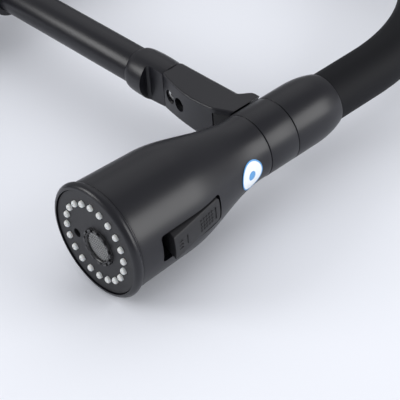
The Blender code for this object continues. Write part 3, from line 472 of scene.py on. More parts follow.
nozzles = {"count": 20, "circle": 19, "steps": 24,
    "profile": [(0, 4), (1.6, 4), (1.6, 0.3), (1.45, -0.6, 0.75), (0.38, -0.6, 0.1), (0.38, 1.4),
    (0, 1.4)]}
face = {"radius": 25.6, "front": 0.7, "back": 2.9, "edge": 0.3, "holeEdge": 0.16,
    "nozzleHole": 1.9, "aeratorHole": 9.3, "screwHole": 1.3, "screwSeat": 2.2, "seatFloor": 2.5,
    "cut": (-1, 5)}
mat = {"radius": 23, "low": 3.2, "high": 4.7, "aeratorHole": 9.6, "screwHole": 1.6, "cut": (2, 6)}
faceScrew = {"place": fromHead("plate_screw").xy,
    "profile": [(0, 7), (1, 7), (1, 2.45), (1.9, 2.45, 0.1), (1.9, 2.15, 0.15), (0, 2.05)],
    "recessLow": (-1.1, -0.2, 1.45), "recessHigh": (1.1, 0.2, 2.3)}
aerator = {"place": fromHead("aerator_housing").xy, "bore": 7.2,
    "profile": [(9, 8.5), (9, -0.9, 0.25), (8.05, -0.9, 0.2), (8.05, 0.5), (7.8, 0.5),
    (7.8, -0.65, 0.1), (7.6, -0.8, 0.15), (7.2, -0.4, 0.1), (7.2, 8.5)], "gaps": 12,
    "gapLow": (8, -1.05, -1.9), "gapHigh": (10, 1.05, 0.4), "gapCorner": 0.3}
screen = {"pitch": 0.9, "wire": 0.13, "wireSides": 5, "spansPerPitch": 2, "weave": 0.15,
    "height": 0.7, "dome": 0.55, "gap": 0.1, "turn": 0.6, "sharp": 60}


def nozzlePlaces():
    turns = [fullTurn * i / nozzles["count"] for i in range(nozzles["count"])]
    return [(nozzles["circle"] * math.cos(turn), nozzles["circle"] * math.sin(turn))
            for turn in turns]


def cutterBed(name, holes):
    # one mesh of many round cutters; a hole is (x, y, radius, low, high)
    bm = bmesh.new()
    for x, y, radius, low, high in holes:
        made = bmesh.ops.create_cone(bm, cap_ends=True, segments=40, radius1=radius * mm,
                                     radius2=radius * mm, depth=(high - low) * mm)
        bmesh.ops.translate(bm, vec=(x * mm, y * mm, (low + high) / 2 * mm), verts=made["verts"])
    return makePiece(name, bm, headAxis)


def makeFace():
    plate = turned("facePlate", rod(face["radius"], face["front"], face["back"], face["edge"]),
                   headAxis, 144)
    holes = [(*place, face["nozzleHole"], *face["cut"]) for place in nozzlePlaces()]
    holes += [(*aerator["place"], face["aeratorHole"], *face["cut"]),
              (*faceScrew["place"], face["screwHole"], *face["cut"])]
    seat = [(*faceScrew["place"], face["screwSeat"], face["cut"][0], face["seatFloor"])]
    carve(plate, cutterBed("plateHoles", holes), cutterBed("screwSeat", seat))
    softenEdges(plate, face["holeEdge"], 60)
    stand(plate)


def makeFaceScrew():
    place = headAxis @ Matrix.Translation((*faceScrew["place"] * mm, 0))
    screw = turned("plateScrew", faceScrew["profile"], place, 40)
    for turn in (0, math.pi / 2):
        carve(screw, slab("crossRecess", faceScrew["recessLow"], faceScrew["recessHigh"],
                          place @ Matrix.Rotation(turn, 4, "Z")))
    stand(screw)


def makeMat():
    piece = turned("nozzleMat", rod(mat["radius"], mat["low"], mat["high"]), headAxis)
    tips = bmesh.new()
    for x, y in nozzlePlaces():
        bm = bmesh.new()
        outline(bm, nozzles["profile"])
        spinOutline(bm, nozzles["steps"])
        bmesh.ops.translate(bm, vec=(x * mm, y * mm, 0), verts=bm.verts)
        copied = bpy.data.meshes.new("nozzle")
        bm.to_mesh(copied)
        bm.free()
        tips.from_mesh(copied)
    merge(piece, makePiece("nozzleTips", tips, headAxis))
    holes = [(*aerator["place"], mat["aeratorHole"], *mat["cut"]),
             (*faceScrew["place"], mat["screwHole"], *mat["cut"])]
    stand(carve(piece, cutterBed("matHoles", holes)))


def makeAerator():
    place = headAxis @ Matrix.Translation((*aerator["place"] * mm, 0))
    housing = turned("aeratorHousing", aerator["profile"], place)
    for i in range(aerator["gaps"]):
        turn = Matrix.Rotation(fullTurn * (i + 0.5) / aerator["gaps"], 4, "Z")
        carve(housing, slab("notchCutter", aerator["gapLow"], aerator["gapHigh"], place @ turn,
                            aerator["gapCorner"], "X"))
    stand(housing, look="aerator_plastic")
    makeScreen(place)


def makeWire(bm, halfRun, across):
    made = bmesh.ops.create_circle(bm, segments=screen["wireSides"], radius=screen["wire"] * mm)
    bmesh.ops.rotate(bm, verts=made["verts"], matrix=Matrix.Rotation(math.pi / 2, 3, "Y"))
    bmesh.ops.translate(bm, verts=made["verts"], vec=(-halfRun * mm, across * mm, 0))
    ring = list({side for vert in made["verts"] for side in vert.link_edges})
    spans = max(2, round(2 * halfRun / screen["pitch"] * screen["spansPerPitch"]))
    wire = list(made["verts"])
    for _ in range(spans):
        grown = bmesh.ops.extrude_edge_only(bm, edges=ring)["geom"]
        ring = [item for item in grown if isinstance(item, bmesh.types.BMEdge)
                and all(vert in grown for vert in item.verts) and not item.link_faces[1:]]
        verts = [item for item in grown if isinstance(item, bmesh.types.BMVert)]
        wire += verts
        bmesh.ops.translate(bm, verts=verts, vec=(2 * halfRun / spans * mm, 0, 0))
    return wire


def makeScreen(place):
    # woven wires that pass over and under each other, slightly domed
    bm = bmesh.new()
    pitch, outer = screen["pitch"], aerator["bore"] - screen["gap"]
    count = int(outer / pitch)
    for crossing in (0, 1):
        for i in range(-count, count + 1):
            across = i * pitch
            wire = makeWire(bm, math.sqrt(max(outer ** 2 - across ** 2, 0.01)), across)
            for vert in wire:
                phase = math.pi * (vert.co.x / mm / pitch + i + crossing)
                vert.co.z += math.cos(phase) * screen["weave"] * mm
            if crossing:
                bmesh.ops.rotate(bm, verts=wire, matrix=Matrix.Rotation(math.pi / 2, 3, "Z"))
    for vert in bm.verts:
        out = math.hypot(vert.co.x, vert.co.y) / mm / outer
        vert.co.z += (screen["height"] - screen["dome"] * (1 - out * out)) * mm
    bmesh.ops.holes_fill(bm, edges=[side for side in bm.edges if side.is_boundary])
    bmesh.ops.recalc_face_normals(bm, faces=bm.faces)
    stand(makePiece("aeratorScreen", bm, place @ Matrix.Rotation(screen["turn"], 4, "Z"),
                    screen["sharp"]), "aerator_mesh")


rocker = {"low": 20.8, "high": 53, "halfWidth": 6.2, "undercut": 3, "rise": 3.6, "flush": 0.35,
    "floor": 18, "topCorner": 1.9, "lowCorner": 0.7, "edge": 0.45, "crown": 26, "slices": 5,
    "slicePitch": 1.05}
# each mark is a half width and a half height, and stands out by the relief
marks = {"relief": 0.3, "sunk": 0.6, "edge": 0.1, "bar": (2.2, 0.25), "barHeight": 29.5,
    "topBar": (3.1, 0.22), "topBarDrop": 3.2, "dot": (0.5, 0.5), "dotHeight": 39.4, "dotRows": 5,
    "rowPitch": 1.9, "dotPlaces": (-2.7, -0.9, 0.9, 2.7), "tick": (0.3, 1.3), "tickRise": 4,
    "tickPlaces": (-1.8, 0, 1.8)}


def rockerFace(height):
    share = (height - rocker["low"]) / (rocker["high"] - rocker["low"])
    low = bellRadius(rocker["low"]) + rocker["rise"]
    high = bellRadius(rocker["high"]) + rocker["flush"]
    return low + (high - low) * share


def makeRocker():
    bm = bmesh.new()
    bmesh.ops.create_cube(bm, size=1)
    for vert in bm.verts:
        height = rocker["high"] if vert.co.z > 0 else rocker["low"]
        outward = rockerFace(height) if vert.co.x > 0 else rocker["floor"]
        if vert.co.x < 0 and vert.co.z < 0:
            height += rocker["undercut"]
        vert.co = Vector((outward, math.copysign(rocker["halfWidth"], vert.co.y), height)) * mm
    middleHeight = (rocker["low"] + rocker["high"]) / 2 * mm
    across = [side for side in bm.edges if edgeAxis(side) == "X"]
    roundEdges(bm, [side for side in across if side.verts[0].co.z > middleHeight],
               rocker["topCorner"], 6)
    across = [side for side in bm.edges
              if edgeAxis(side) == "X" and side.verts[0].co.z < middleHeight
              and len(side.link_faces) == 2 and side.calc_face_angle(0) > 1]
    roundEdges(bm, across, rocker["lowCorner"], 4)
    aboveFloor = (rocker["floor"] + 1) * mm
    outer = [side for side in bm.edges
             if all(vert.co.x > aboveFloor for vert in side.verts)
             and side.calc_face_angle(0) > 0.8]
    roundEdges(bm, outer, rocker["edge"], 4)
    for i in range(-rocker["slices"], rocker["slices"] + 1):
        bmesh.ops.bisect_plane(bm, geom=bm.verts[:] + bm.edges[:] + bm.faces[:],
                               dist=0.00001 * mm, plane_no=(0, 1, 0),
                               plane_co=(0, i * rocker["slicePitch"] * mm, 0))
    for vert in bm.verts:
        if vert.co.x > aboveFloor:
            vert.co.x -= vert.co.y ** 2 / (2 * rocker["crown"] * mm)
    piece = makePiece("rockerButton", bm, headAxis)
    merge(piece, makeMarks())
    stand(piece)


def makeMarks():
    places = [(marks["barHeight"], 0, marks["bar"]),
              (rocker["high"] - marks["topBarDrop"], 0, marks["topBar"])]
    for row in range(marks["dotRows"]):
        places += [(marks["dotHeight"] + marks["rowPitch"] * row, across, marks["dot"])
                   for across in marks["dotPlaces"]]
    places += [(rocker["low"] + marks["tickRise"], across, marks["tick"])
               for across in marks["tickPlaces"]]
    bm = bmesh.new()
    for height, across, (halfWidth, halfHeight) in places:
        outward = rockerFace(height) - across ** 2 / (2 * rocker["crown"])
        mark = slab("mark", (outward - marks["sunk"], across - halfWidth, height - halfHeight),
                    (outward + marks["relief"], across + halfWidth, height + halfHeight),
                    headAxis, marks["edge"], "XYZ", 2)
        bm.from_mesh(mark.data)
        bpy.data.objects.remove(mark)
    return makePiece("rockerMarks", bm)


cradle = {"back": 12.4, "floor": 14.6, "wall": 1.3, "inset": 0.3, "corner": 1.5, "shellGap": 0.3,
    "sections": 16, "past": 2, "slotHalfWidth": 1.8, "slotLow": 31.5, "slotHigh": 41.5, "pin": 1.5,
    "pinPlace": (19.6, 0, 36.5), "pinReach": 20}


def makeCradle():
    past = cradle["past"]
    outer = window["halfWidth"] + cradle["wall"]
    low, high = window["low"] - cradle["wall"], window["high"] + cradle["wall"]
    piece = slab("rockerCradle", (cradle["back"], -outer, low), (shell["mouth"], outer, high),
                 headAxis, cradle["corner"], "X")
    run = high - low + 2 * past
    heights = [high + past - run * i / cradle["sections"] for i in range(cradle["sections"] + 1)]
    side = [(bellRadius(h) - shell["wall"] - cradle["shellGap"], h) for h in heights]
    carve(piece, turned("cradleLimit", [(0, high + past), *side, (0, low - past)], headAxis),
          operation="INTERSECT")
    inner = window["halfWidth"] - cradle["inset"]
    carve(piece,
          slab("tray", (cradle["floor"], -inner, window["low"]),
               (2 * shell["mouth"], inner, window["high"]), headAxis,
               window["corner"] - cradle["inset"], "X", 5),
          slab("slot", (0, -cradle["slotHalfWidth"], cradle["slotLow"]),
               (shell["mouth"], cradle["slotHalfWidth"], cradle["slotHigh"]), headAxis),
          cylinder("pinHole", cradle["pin"], -cradle["pinReach"], cradle["pinReach"],
                   headAxis @ shift(*cradle["pinPlace"]) @ quarterTurn("X")))
    stand(piece)


neck = {"radius": 16.1, "low": 92.9, "high": 110.2, "wall": 3, "edge": 0.28}
hoseNut = {"radius": 16.1, "shoulder": 124.5, "top": 141.9, "drop": 2.7, "curve": 2.3,
    "points": 15, "lip": 0.45, "profile": [(16.1, 110.5, 0.28), (10.2, 110.5), (10.2, 124),
    (12.75, 124), (12.75, 141.9, 0.15)]}


def makeNeck():
    corners = tubeWall(neck["radius"] - neck["wall"], neck["radius"], neck["low"], neck["high"],
                       neck["edge"])
    stand(turned("neckCollar", corners, headAxis, 144))


def makeHoseNut():
    rise = hoseNut["top"] - hoseNut["shoulder"]
    dome = []
    for i in range(hoseNut["points"]):
        share = 1 - i / (hoseNut["points"] - 1)
        dome.append((hoseNut["radius"] - hoseNut["drop"] * share ** hoseNut["curve"],
                     hoseNut["shoulder"] + rise * share))
    dome[0] = (*dome[0], hoseNut["lip"])
    stand(turned("hoseNut", dome + hoseNut["profile"], headAxis, 144))


label = {"radius": 7.25, "height": fromHead("label").z, "lift": 0.12, "thickness": 0.22,
    "rings": 8}


def makeLabel():
    # a flat disc laid on the curve of the neck
    bm = bmesh.new()
    bmesh.ops.create_circle(bm, cap_ends=True, segments=72, radius=label["radius"] * mm)
    for _ in range(label["rings"]):
        inner = min(bm.faces, key=lambda f: f.calc_center_median().length)
        bmesh.ops.inset_individual(bm, faces=[inner],
                                   thickness=label["radius"] / (label["rings"] + 1) * mm)
    for vert in bm.verts:
        across, up = vert.co.x, vert.co.y + label["height"] * mm
        radius = (bellRadius(up / mm) + label["lift"]) * mm
        vert.co = Vector((math.sqrt(radius ** 2 - across ** 2), across, up))
    bmesh.ops.recalc_face_normals(bm, faces=bm.faces)
    piece = makePiece("roundLabel", bm, headAxis)
    reshape(piece, "SOLIDIFY", thickness=label["thickness"] * mm, offset=1)
    stand(piece, "label")


makeShell()
makeRim()
makeFace()
makeFaceScrew()
makeMat()
makeAerator()
makeRocker()
makeCradle()
makeNeck()
makeHoseNut()
makeLabel()
print("spray head made")


# hose

hoses = {
    "hoseSleeve": {"node": "hose_sleeve", "radius": 12.45, "wall": 3.2, "headEnd": 124.3,
                   "spans": 96, "sides": 64},
    "innerHose": {"node": "inner_hose", "radius": 8.6, "wall": 2.6, "headEnd": 113.3,
                  "spans": 48, "sides": 32},
}


def columnEnd(node):
    # lowest point of the hose on the column's side
    heights = [vert.co.z for vert in nodes[node].data.vertices if vert.co.x < reach / 4 * mm]
    return min(heights) / mm


def makeHose(name, hose):
    node, archRadius = hose["node"], reach / 2
    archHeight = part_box(node)[1].z / mm - hose["radius"] - archRadius
    bm = bmesh.new()
    made = bmesh.ops.create_circle(bm, segments=hose["sides"], radius=hose["radius"] * mm)
    bmesh.ops.translate(bm, verts=made["verts"], vec=(reach * mm, 0, archHeight * mm))
    first = bm.edges[:]
    arch = bmesh.ops.spin(bm, geom=bm.verts[:] + bm.edges[:], axis=(0, -1, 0), dvec=(0, 0, 0),
                          cent=(archRadius * mm, 0, archHeight * mm), angle=math.pi,
                          steps=hose["spans"])
    last = [item for item in arch["geom_last"] if isinstance(item, bmesh.types.BMEdge)]
    headLow = headAxis.translation.z / mm + hose["headEnd"]
    for edges, bottom in ((first, headLow), (last, columnEnd(node))):
        grown = bmesh.ops.extrude_edge_only(bm, edges=edges)["geom"]
        verts = [item for item in grown if isinstance(item, bmesh.types.BMVert)]
        bmesh.ops.translate(bm, verts=verts, vec=(0, 0, (bottom - archHeight) * mm))
    bmesh.ops.recalc_face_normals(bm, faces=bm.faces)
    piece = makePiece(name, bm)
    reshape(piece, "SOLIDIFY", thickness=hose["wall"] * mm, offset=-1, use_even_offset=True)
    standFor(piece, node)
    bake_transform(piece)


for hoseName, hoseValues in hoses.items():
    makeHose(hoseName, hoseValues)
print("hoses made")


# docking arm, heights along the arm from the spray head's axis

armTube = {"radius": 9.4, "wall": 1.5, "edge": 0.2}
sleeve = {"open": -86.4, "end": -62.6, "endRadius": 11, "swell": 0.62, "lead": 1.05,
    "leadRun": 1.1, "boreEnd": -75, "clearance": 0.25, "edge": 0.15, "points": 30, "crowding": 1.6,
    "flat": 5.6, "flatStart": -73.5, "flatRound": 1.6, "flatCutter": (30, 20, 10)}
bracket = {"start": -62.3, "flat": 5.6, "lowAtPad": 9.4, "leadIn": 0.48, "lipStart": -24.5,
    "lipRun": 7, "halfWidth": 10.3, "top": 9.2, "topAtLip": 9.5, "lipTop": 12.9, "topRound": 5,
    "lipRound": 1.5, "lowRound": 1, "saddle": 17.3, "edge": 0.22, "waist": 1, "belly": 0.9,
    "stations": (0, 0.02, 0.1, 0.2, 0.3, 0.4, 0.5, 0.6, 0.623, 0.65, 0.68, 0.7, 0.72, 0.75, 1)}
pad = {"back": -23.5, "halfWidth": 7.2, "top": 8, "clearance": 0.3, "saddle": 16.45, "edge": 0.35}
saddleCut = {"low": 60, "high": 160, "steps": 192}  # heights along the spray head
dockScrew = {"places": [fromHead(f"bracket_screw_{i}").x for i in (1, 2)], "counterbore": 3.6,
    "floor": 2.8, "profile": [(0, 5.4), (3.2, 5.4, 0.35), (3.2, 3.1), (1.3, 3.1), (1.3, -1.4),
    (0, -1.4)], "socket": [(0, 6.4), (1.45, 6.4, 0.05), (1.45, 4.6, 0.05), (0, 4.6)]}


def makeArmTube():
    low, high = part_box("arm_tube")
    corners = tubeWall(armTube["radius"] - armTube["wall"], armTube["radius"],
                       low.x / mm - reach, high.x / mm - reach, armTube["edge"])
    stand(turned("armTube", corners, armAxis))


def makeSleeve():
    centre = (sleeve["open"] + sleeve["end"]) / 2
    half = (sleeve["end"] - sleeve["open"]) / 2
    side = []
    for i in range(sleeve["points"]):
        # closer together at the open end
        share = (i / (sleeve["points"] - 1)) ** sleeve["crowding"]
        height = sleeve["open"] + 2 * half * share
        along = (height - centre) / half
        lead = sleeve["lead"] * math.exp((sleeve["open"] - height) / sleeve["leadRun"])
        side.append((sleeve["endRadius"] + sleeve["swell"] * (1 - along * along) - lead, height))
    side[-1] = (*side[-1], sleeve["edge"])
    bore = armTube["radius"] + sleeve["clearance"]
    piece = turned("armSleeve", [
        (0, sleeve["end"]), *reversed(side), (bore, sleeve["open"]), (bore, sleeve["boreEnd"]),
        (0, sleeve["boreEnd"])], armAxis, 128)
    far, half, end = sleeve["flatCutter"]
    flat = slab("flatCutter", (sleeve["flat"], -half, sleeve["flatStart"]), (far, half, end),
                armAxis, sleeve["flatRound"], "Y", 8)
    stand(carve(piece, flat))


def bracketShare(height):
    # 0 at the sleeve and 1 at the pad
    return (height - bracket["start"]) / (pad["back"] - bracket["start"])


def bracketSwell(height):
    # 0 at the sleeve and at the pad, 1 half way between them
    return math.sin(math.pi * min(bracketShare(height), 1))


def bracketLow(height):
    # the underside falls towards the pad, then turns up to lead the head in
    if height > pad["back"]:
        return bracket["lowAtPad"] - bracket["leadIn"] * (height - pad["back"])
    fall = (bracket["lowAtPad"] - bracket["flat"]) * (1 - (1 - bracketShare(height)) ** 2)
    return bracket["flat"] + fall + bracket["belly"] * bracketSwell(height)


def bracketSection(bm, height):
    # one cross-section of the bracket, square to the arm, with its four corners rounded
    toHead = (height - bracket["start"]) / (bracket["lipStart"] - bracket["start"])
    rise = easeIn((height - bracket["lipStart"]) / bracket["lipRun"])
    low = bracketLow(height)
    top = bracket["top"] + (bracket["topAtLip"] - bracket["top"]) * min(toHead, 1)
    top += (bracket["lipTop"] - top) * rise
    topRound = bracket["topRound"] + (bracket["lipRound"] - bracket["topRound"]) * rise
    half = bracket["halfWidth"]
    lowHalf = half - bracket["waist"] * bracketSwell(height)
    known = set(bm.verts)
    verts = [bm.verts.new((x * mm, y * mm, height * mm))
             for x, y in ((low, -lowHalf), (low, lowHalf), (-top, half), (-top, -half))]
    for i in range(4):
        bm.edges.new((verts[i], verts[i - 1]))
    for vert in verts[:2]:
        roundCorner(bm, vert, bracket["lowRound"], 4)
    for vert in verts[2:]:
        roundCorner(bm, vert, topRound, 10)
    ringVerts = [vert for vert in bm.verts if vert not in known]
    return list({side for vert in ringVerts for side in vert.link_edges})


def makeBracket():
    bm = bmesh.new()
    rings = [bracketSection(bm, bracket["start"] * (1 - share)) for share in bracket["stations"]]
    for first, second in zip(rings, rings[1:]):
        bmesh.ops.bridge_loops(bm, edges=first + second)
    bmesh.ops.holes_fill(bm, edges=[side for side in bm.edges if side.is_boundary])
    bmesh.ops.recalc_face_normals(bm, faces=bm.faces)
    piece = makePiece("dockBracket", bm, armAxis)
    around = pad["clearance"]
    half = pad["halfWidth"] + around
    carve(piece,
          cylinder("saddleCutter", bracket["saddle"], saddleCut["low"], saddleCut["high"],
                   headAxis, saddleCut["steps"]),
          slab("padPocket", (-pad["top"] - around, -half, pad["back"] - around),
               (2 * bracket["lowAtPad"], half, 5), armAxis),
          *[cylinder("counterbore", dockScrew["counterbore"], dockScrew["floor"], 20,
                     armAxis @ shift(z=place) @ quarterTurn("Y"))
            for place in dockScrew["places"]])
    softenEdges(piece, bracket["edge"], 55)
    stand(piece)


def makePad():
    bm = bmesh.new()
    bmesh.ops.create_cube(bm, size=1)
    for vert in bm.verts:
        height = 0 if vert.co.z > 0 else pad["back"]
        down = bracketLow(height) - pad["clearance"] if vert.co.x > 0 else -pad["top"]
        vert.co = Vector((down, math.copysign(pad["halfWidth"], vert.co.y), height)) * mm
    piece = makePiece("dockPad", bm, armAxis)
    carve(piece, cylinder("padSaddle", pad["saddle"], saddleCut["low"], saddleCut["high"],
                          headAxis, saddleCut["steps"]))
    softenEdges(piece, pad["edge"], 55, 3)
    stand(piece, look="pad_rubber")


def makeDockScrews():
    for number, height in enumerate(dockScrew["places"], 1):
        place = armAxis @ shift(z=height) @ quarterTurn("Y")
        piece = turned(f"bracketScrew{number}", dockScrew["profile"], place, 48)
        carve(piece, turned("hexSocket", dockScrew["socket"], place, 6))
        stand(piece)


collar = {"radius": 19, "height": 26, "edge": 0.9, "bore": 13.3, "bossRadius": 12.5,
    "bossStart": 3, "bossEnd": 30, "bossEdge": 0.8, "seat": 17, "socketGap": 0.2,
    "socketEnd": 50, "soften": 0.25, "past": 2}
collarScrew = {"radius": 2.5, "hole": 2.8, "recess": 0.6, "holeStart": -40}
grub = {"pointEdge": 0.3, "openEdge": 0.35, "socket": 0.5, "socketDepth": 1.6}


def makeCollar():
    low, high = armHeight - collar["height"] / 2, armHeight + collar["height"] / 2
    past = collar["past"]
    piece = turned("armCollar", rod(collar["radius"], low, high, collar["edge"]), steps=128)
    merge(piece, turned("collarBoss", rod(collar["bossRadius"], collar["bossStart"] - reach,
                                          collar["bossEnd"] - reach, collar["bossEdge"]), armAxis))
    carve(piece,
          cylinder("collarBore", collar["bore"], low - past, high + past, steps=96),
          cylinder("armSocket", armTube["radius"] + collar["socketGap"], collar["seat"] - reach,
                   collar["socketEnd"] - reach, armAxis, 96),
          cylinder("grubHole", collarScrew["hole"], collarScrew["holeStart"] - reach,
                   -collar["bore"] + 1 - reach, armAxis))
    softenEdges(piece, collar["soften"], 55)
    stand(piece)
    screw = grubScrew("collarScrew", collarScrew["radius"],
                      -collar["radius"] + collarScrew["recess"], -collar["bore"],
                      shift(z=armHeight) @ quarterTurn("Y"))
    stand(screw)


def grubScrew(name, radius, low, high, place):
    # the low end shows and has a hexagon socket
    piece = turned(name, [(0, high), (radius, high, grub["pointEdge"]),
                          (radius, low, grub["openEdge"]), (0, low)], place, 40)
    socket = rod(radius * grub["socket"], low - 1, low + grub["socketDepth"], 0.05)
    return carve(piece, turned("grubSocket", socket, place, 6))


makeArmTube()
makeSleeve()
makeBracket()
makePad()
makeDockScrews()
makeCollar()
print("docking arm made")


# column and base, heights above the deck

riser = {"radius": 13, "wall": 2, "clearance": 0.3}
socket = {"radius": 16, "round": 2, "length": 30, "lip": 12.75, "lipEdge": 0.2, "footEdge": 0.5,
    "webGap": 0.3, "web": 2.7, "passage": 8.9}
trim = {"height": 4, "round": 1.4, "footEdge": 0.3, "boreEdge": 0.3}
base = {"body": 20, "edge": 0.3, "profile": [(0, 150), (20, 150, 1.2), (20, 8.5, 0.3), (0, 8.5)],
    "boss": rod(15.5, 3, 34, 0.7), "cartridgePocket": (12.8, 8, 39), "riserPocket": (16, 117, 155),
    "shankPocket": (16.8, 6.5, 23.8), "flange": [(27.5, 8.2, 3), (27.5, 1.7, 0.3), (16.8, 1.7),
    (16.8, 8.2)], "gasket": tubeWall(16.8, 24.5, 0, 1.4, 0.3)}


def makeRiser():
    low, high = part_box("riser_tube")
    corners = tubeWall(riser["radius"] - riser["wall"], riser["radius"], low.z / mm, high.z / mm)
    stand(turned("riserTube", corners, steps=128))
    bore = riser["radius"] + riser["clearance"]
    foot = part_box("hose_socket")[0].z / mm
    top = foot + socket["length"]
    web = high.z / mm + socket["webGap"]
    corners = [(socket["lip"], top, socket["lipEdge"]), (socket["radius"], top, socket["round"]),
               (socket["radius"], foot, socket["footEdge"]), (bore, foot, socket["lipEdge"]),
               (bore, web), (socket["passage"], web), (socket["passage"], web + socket["web"]),
               (socket["lip"], web + socket["web"])]
    stand(turned("hoseSocket", corners, steps=128, segments=8))
    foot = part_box("trim_ring")[0].z / mm
    top = foot + trim["height"]
    corners = [(base["body"], top, trim["round"]), (base["body"], foot, trim["footEdge"]),
               (bore, foot), (bore, top, trim["boreEdge"])]
    stand(turned("trimRing", corners, steps=128, segments=5))


def makeBody():
    piece = turned("valveBody", base["profile"], steps=144, segments=5)
    merge(piece, turned("sideBoss", base["boss"], handleAxis, 112))
    carve(piece, cylinder("cartridgePocket", *base["cartridgePocket"], handleAxis, 96),
          cylinder("riserPocket", *base["riserPocket"], steps=96),
          cylinder("shankPocket", *base["shankPocket"], steps=96))
    softenEdges(piece, base["edge"])
    stand(piece)


def makeFlange():
    stand(turned("baseFlange", base["flange"], steps=144, segments=7))
    stand(turned("baseGasket", base["gasket"]))


shank = {"radius": 16.5, "bore": 13, "low": -62, "high": 23.5, "pitch": 1.5, "depth": 0.75,
    "crestStart": 0.45, "crestEnd": 0.6, "boreEdge": 0.4}
washers = {"rubber": tubeWall(16.8, 27, -33, -30, 0.35),
    "steel": tubeWall(16.8, 27, -35.3, -33.3, 0.35)}
nut = {"hexagon": rod(26, -47.6, -35.6, 0), "bore": (16.8, -49.6, -33.6), "edge": 0.3,
    "chamfer": [(0, -35.6), (24.2, -35.6), (26.5, -36.68), (26.5, -46.52), (24.2, -47.6),
    (0, -47.6)]}


def makeShank():
    root = shank["radius"] - shank["depth"]
    ridges = []
    for i in range(int((shank["high"] - shank["low"] - 2) / shank["pitch"])):
        height = shank["high"] - 1 - shank["pitch"] * i
        ridges += [(root, height),
                   (shank["radius"], height - shank["pitch"] * shank["crestStart"]),
                   (shank["radius"], height - shank["pitch"] * shank["crestEnd"])]
    corners = [(root, shank["high"]), *ridges, (root, shank["low"]),
               (shank["bore"], shank["low"], shank["boreEdge"]), (shank["bore"], shank["high"])]
    stand(turned("mountingShank", corners, steps=64))


def makeWashers():
    stand(turned("rubberWasher", washers["rubber"]))
    stand(turned("steelWasher", washers["steel"]))


def makeNut():
    piece = turned("mountingNut", nut["hexagon"], steps=6)
    carve(piece, turned("nutChamfer", nut["chamfer"]), operation="INTERSECT")
    carve(piece, cylinder("nutBore", *nut["bore"], steps=96))
    softenEdges(piece, nut["edge"], 40)
    stand(piece)


inlet = {"inside": [(3, 33.8, 0.3), (1.8, 33.8), (1.8, -8, 0.3), (4.9, -8, 0.2)], "ridges": 9,
    "low": -7, "root": 4.9, "crest": 5.4, "crestStart": 0.4, "crestEnd": 0.6,
    "outside": [(5.4, 4), (5.4, 23.5, 0.3), (3, 23.5)]}


def makeInlets():
    ridges = []
    for height in range(inlet["low"], inlet["low"] + inlet["ridges"]):
        ridges += [(inlet["root"], height), (inlet["crest"], height + inlet["crestStart"]),
                   (inlet["crest"], height + inlet["crestEnd"])]
    corners = inlet["inside"] + ridges + inlet["outside"]
    for name, node in (("hotInlet", "hot_inlet"), ("coldInlet", "cold_inlet")):
        place = Matrix.Translation((middle(node).x, 0, 0))
        stand(turned(name, corners, place, 48), node)


makeRiser()
makeBody()
makeFlange()
makeShank()
makeWashers()
makeNut()
makeInlets()
print("column and base made")


# side handle, heights out from the column's axis

bonnet = {"pivot": 24, "radius": 18.6, "wall": 2.4, "opening": 36, "base": 34.3, "points": 20}
hub = {"clearance": 0.6, "cover": 58, "radius": 19, "end": 51.5, "round": 3, "rimEdge": 0.12,
    "endWall": 2.2, "bore": 3.5, "edge": 0.25}
lever = {"axis": 46.5, "hole": (3.65, 9.5, 30),
    "profile": [(0, 85), (3, 85, 2.9), (3.4, 19), (3.4, 9.8, 0.3), (0, 9.8)]}
hubScrew = {"radius": 1.9, "low": -18.4, "high": -3.5, "hole": (2.2, -30, -3.2)}
indexCap = {"profile": [(0, 51.65), (4, 51.65, 0.3), (4, 50.7), (0, 50.7)],
    "recess": (4.3, 50.4, 54.5)}


def spherePoints(radius, start, end, count):
    # points of a sphere's side about the pivot, from one polar angle to another
    turns = [start + (end - start) * i / (count - 1) for i in range(count)]
    return [(radius * math.cos(turn), bonnet["pivot"] + radius * math.sin(turn))
            for turn in turns]


def makeBonnet():
    inner = bonnet["radius"] - bonnet["wall"]
    edge = math.radians(90 - bonnet["opening"])
    outerFoot = math.asin((bonnet["base"] - bonnet["pivot"]) / bonnet["radius"])
    innerFoot = math.asin((bonnet["base"] - bonnet["pivot"]) / inner)
    corners = (spherePoints(bonnet["radius"], edge, outerFoot, bonnet["points"])
               + spherePoints(inner, innerFoot, edge, bonnet["points"]))
    stand(turned("sideBonnet", corners, handleAxis), "bonnet")


def makeHub(across):
    inner = bonnet["radius"] + hub["clearance"]
    rimTurn = math.radians(90 - hub["cover"])
    rimHeight = bonnet["pivot"] + inner * math.sin(rimTurn)
    top = hub["end"] - hub["endWall"]
    hollow = spherePoints(inner, rimTurn, math.acos(hub["bore"] / inner), bonnet["points"])
    corners = [(0, hub["end"]), (hub["radius"], hub["end"], hub["round"]),
               (hub["radius"], rimHeight, hub["rimEdge"]), *hollow, (hub["bore"], top), (0, top)]
    piece = turned("handleHub", corners, handleAxis, 112, segments=8)
    carve(piece, cylinder("leverBore", *lever["hole"], across),
          cylinder("screwBore", *hubScrew["hole"], across),
          cylinder("indexRecess", *indexCap["recess"], handleAxis))
    softenEdges(piece, hub["edge"], 55)
    stand(piece)


def makeLever(across):
    stand(turned("handleLever", lever["profile"], across, 48, segments=8))
    stand(grubScrew("hubScrew", hubScrew["radius"], hubScrew["low"], hubScrew["high"], across))


def makeIndexCap():
    stand(turned("indexCap", indexCap["profile"], handleAxis, 64), look="index")


makeBonnet()
leverAxis = handleAxis @ shift(z=lever["axis"]) @ quarterTurn("X", -1)
makeHub(leverAxis)
makeLever(leverAxis)
makeIndexCap()
print("handle made")


# table, light and camera

table = {"centre": (150, 28.6, 220), "halfSize": 700, "dark": (0.80, 0.82, 0.88),
    "light": (0.84, 0.86, 0.92), "blotches": 180, "roughness": 0.8}
world = {"colour": (0.97, 0.98, 1), "strength": 0.37}
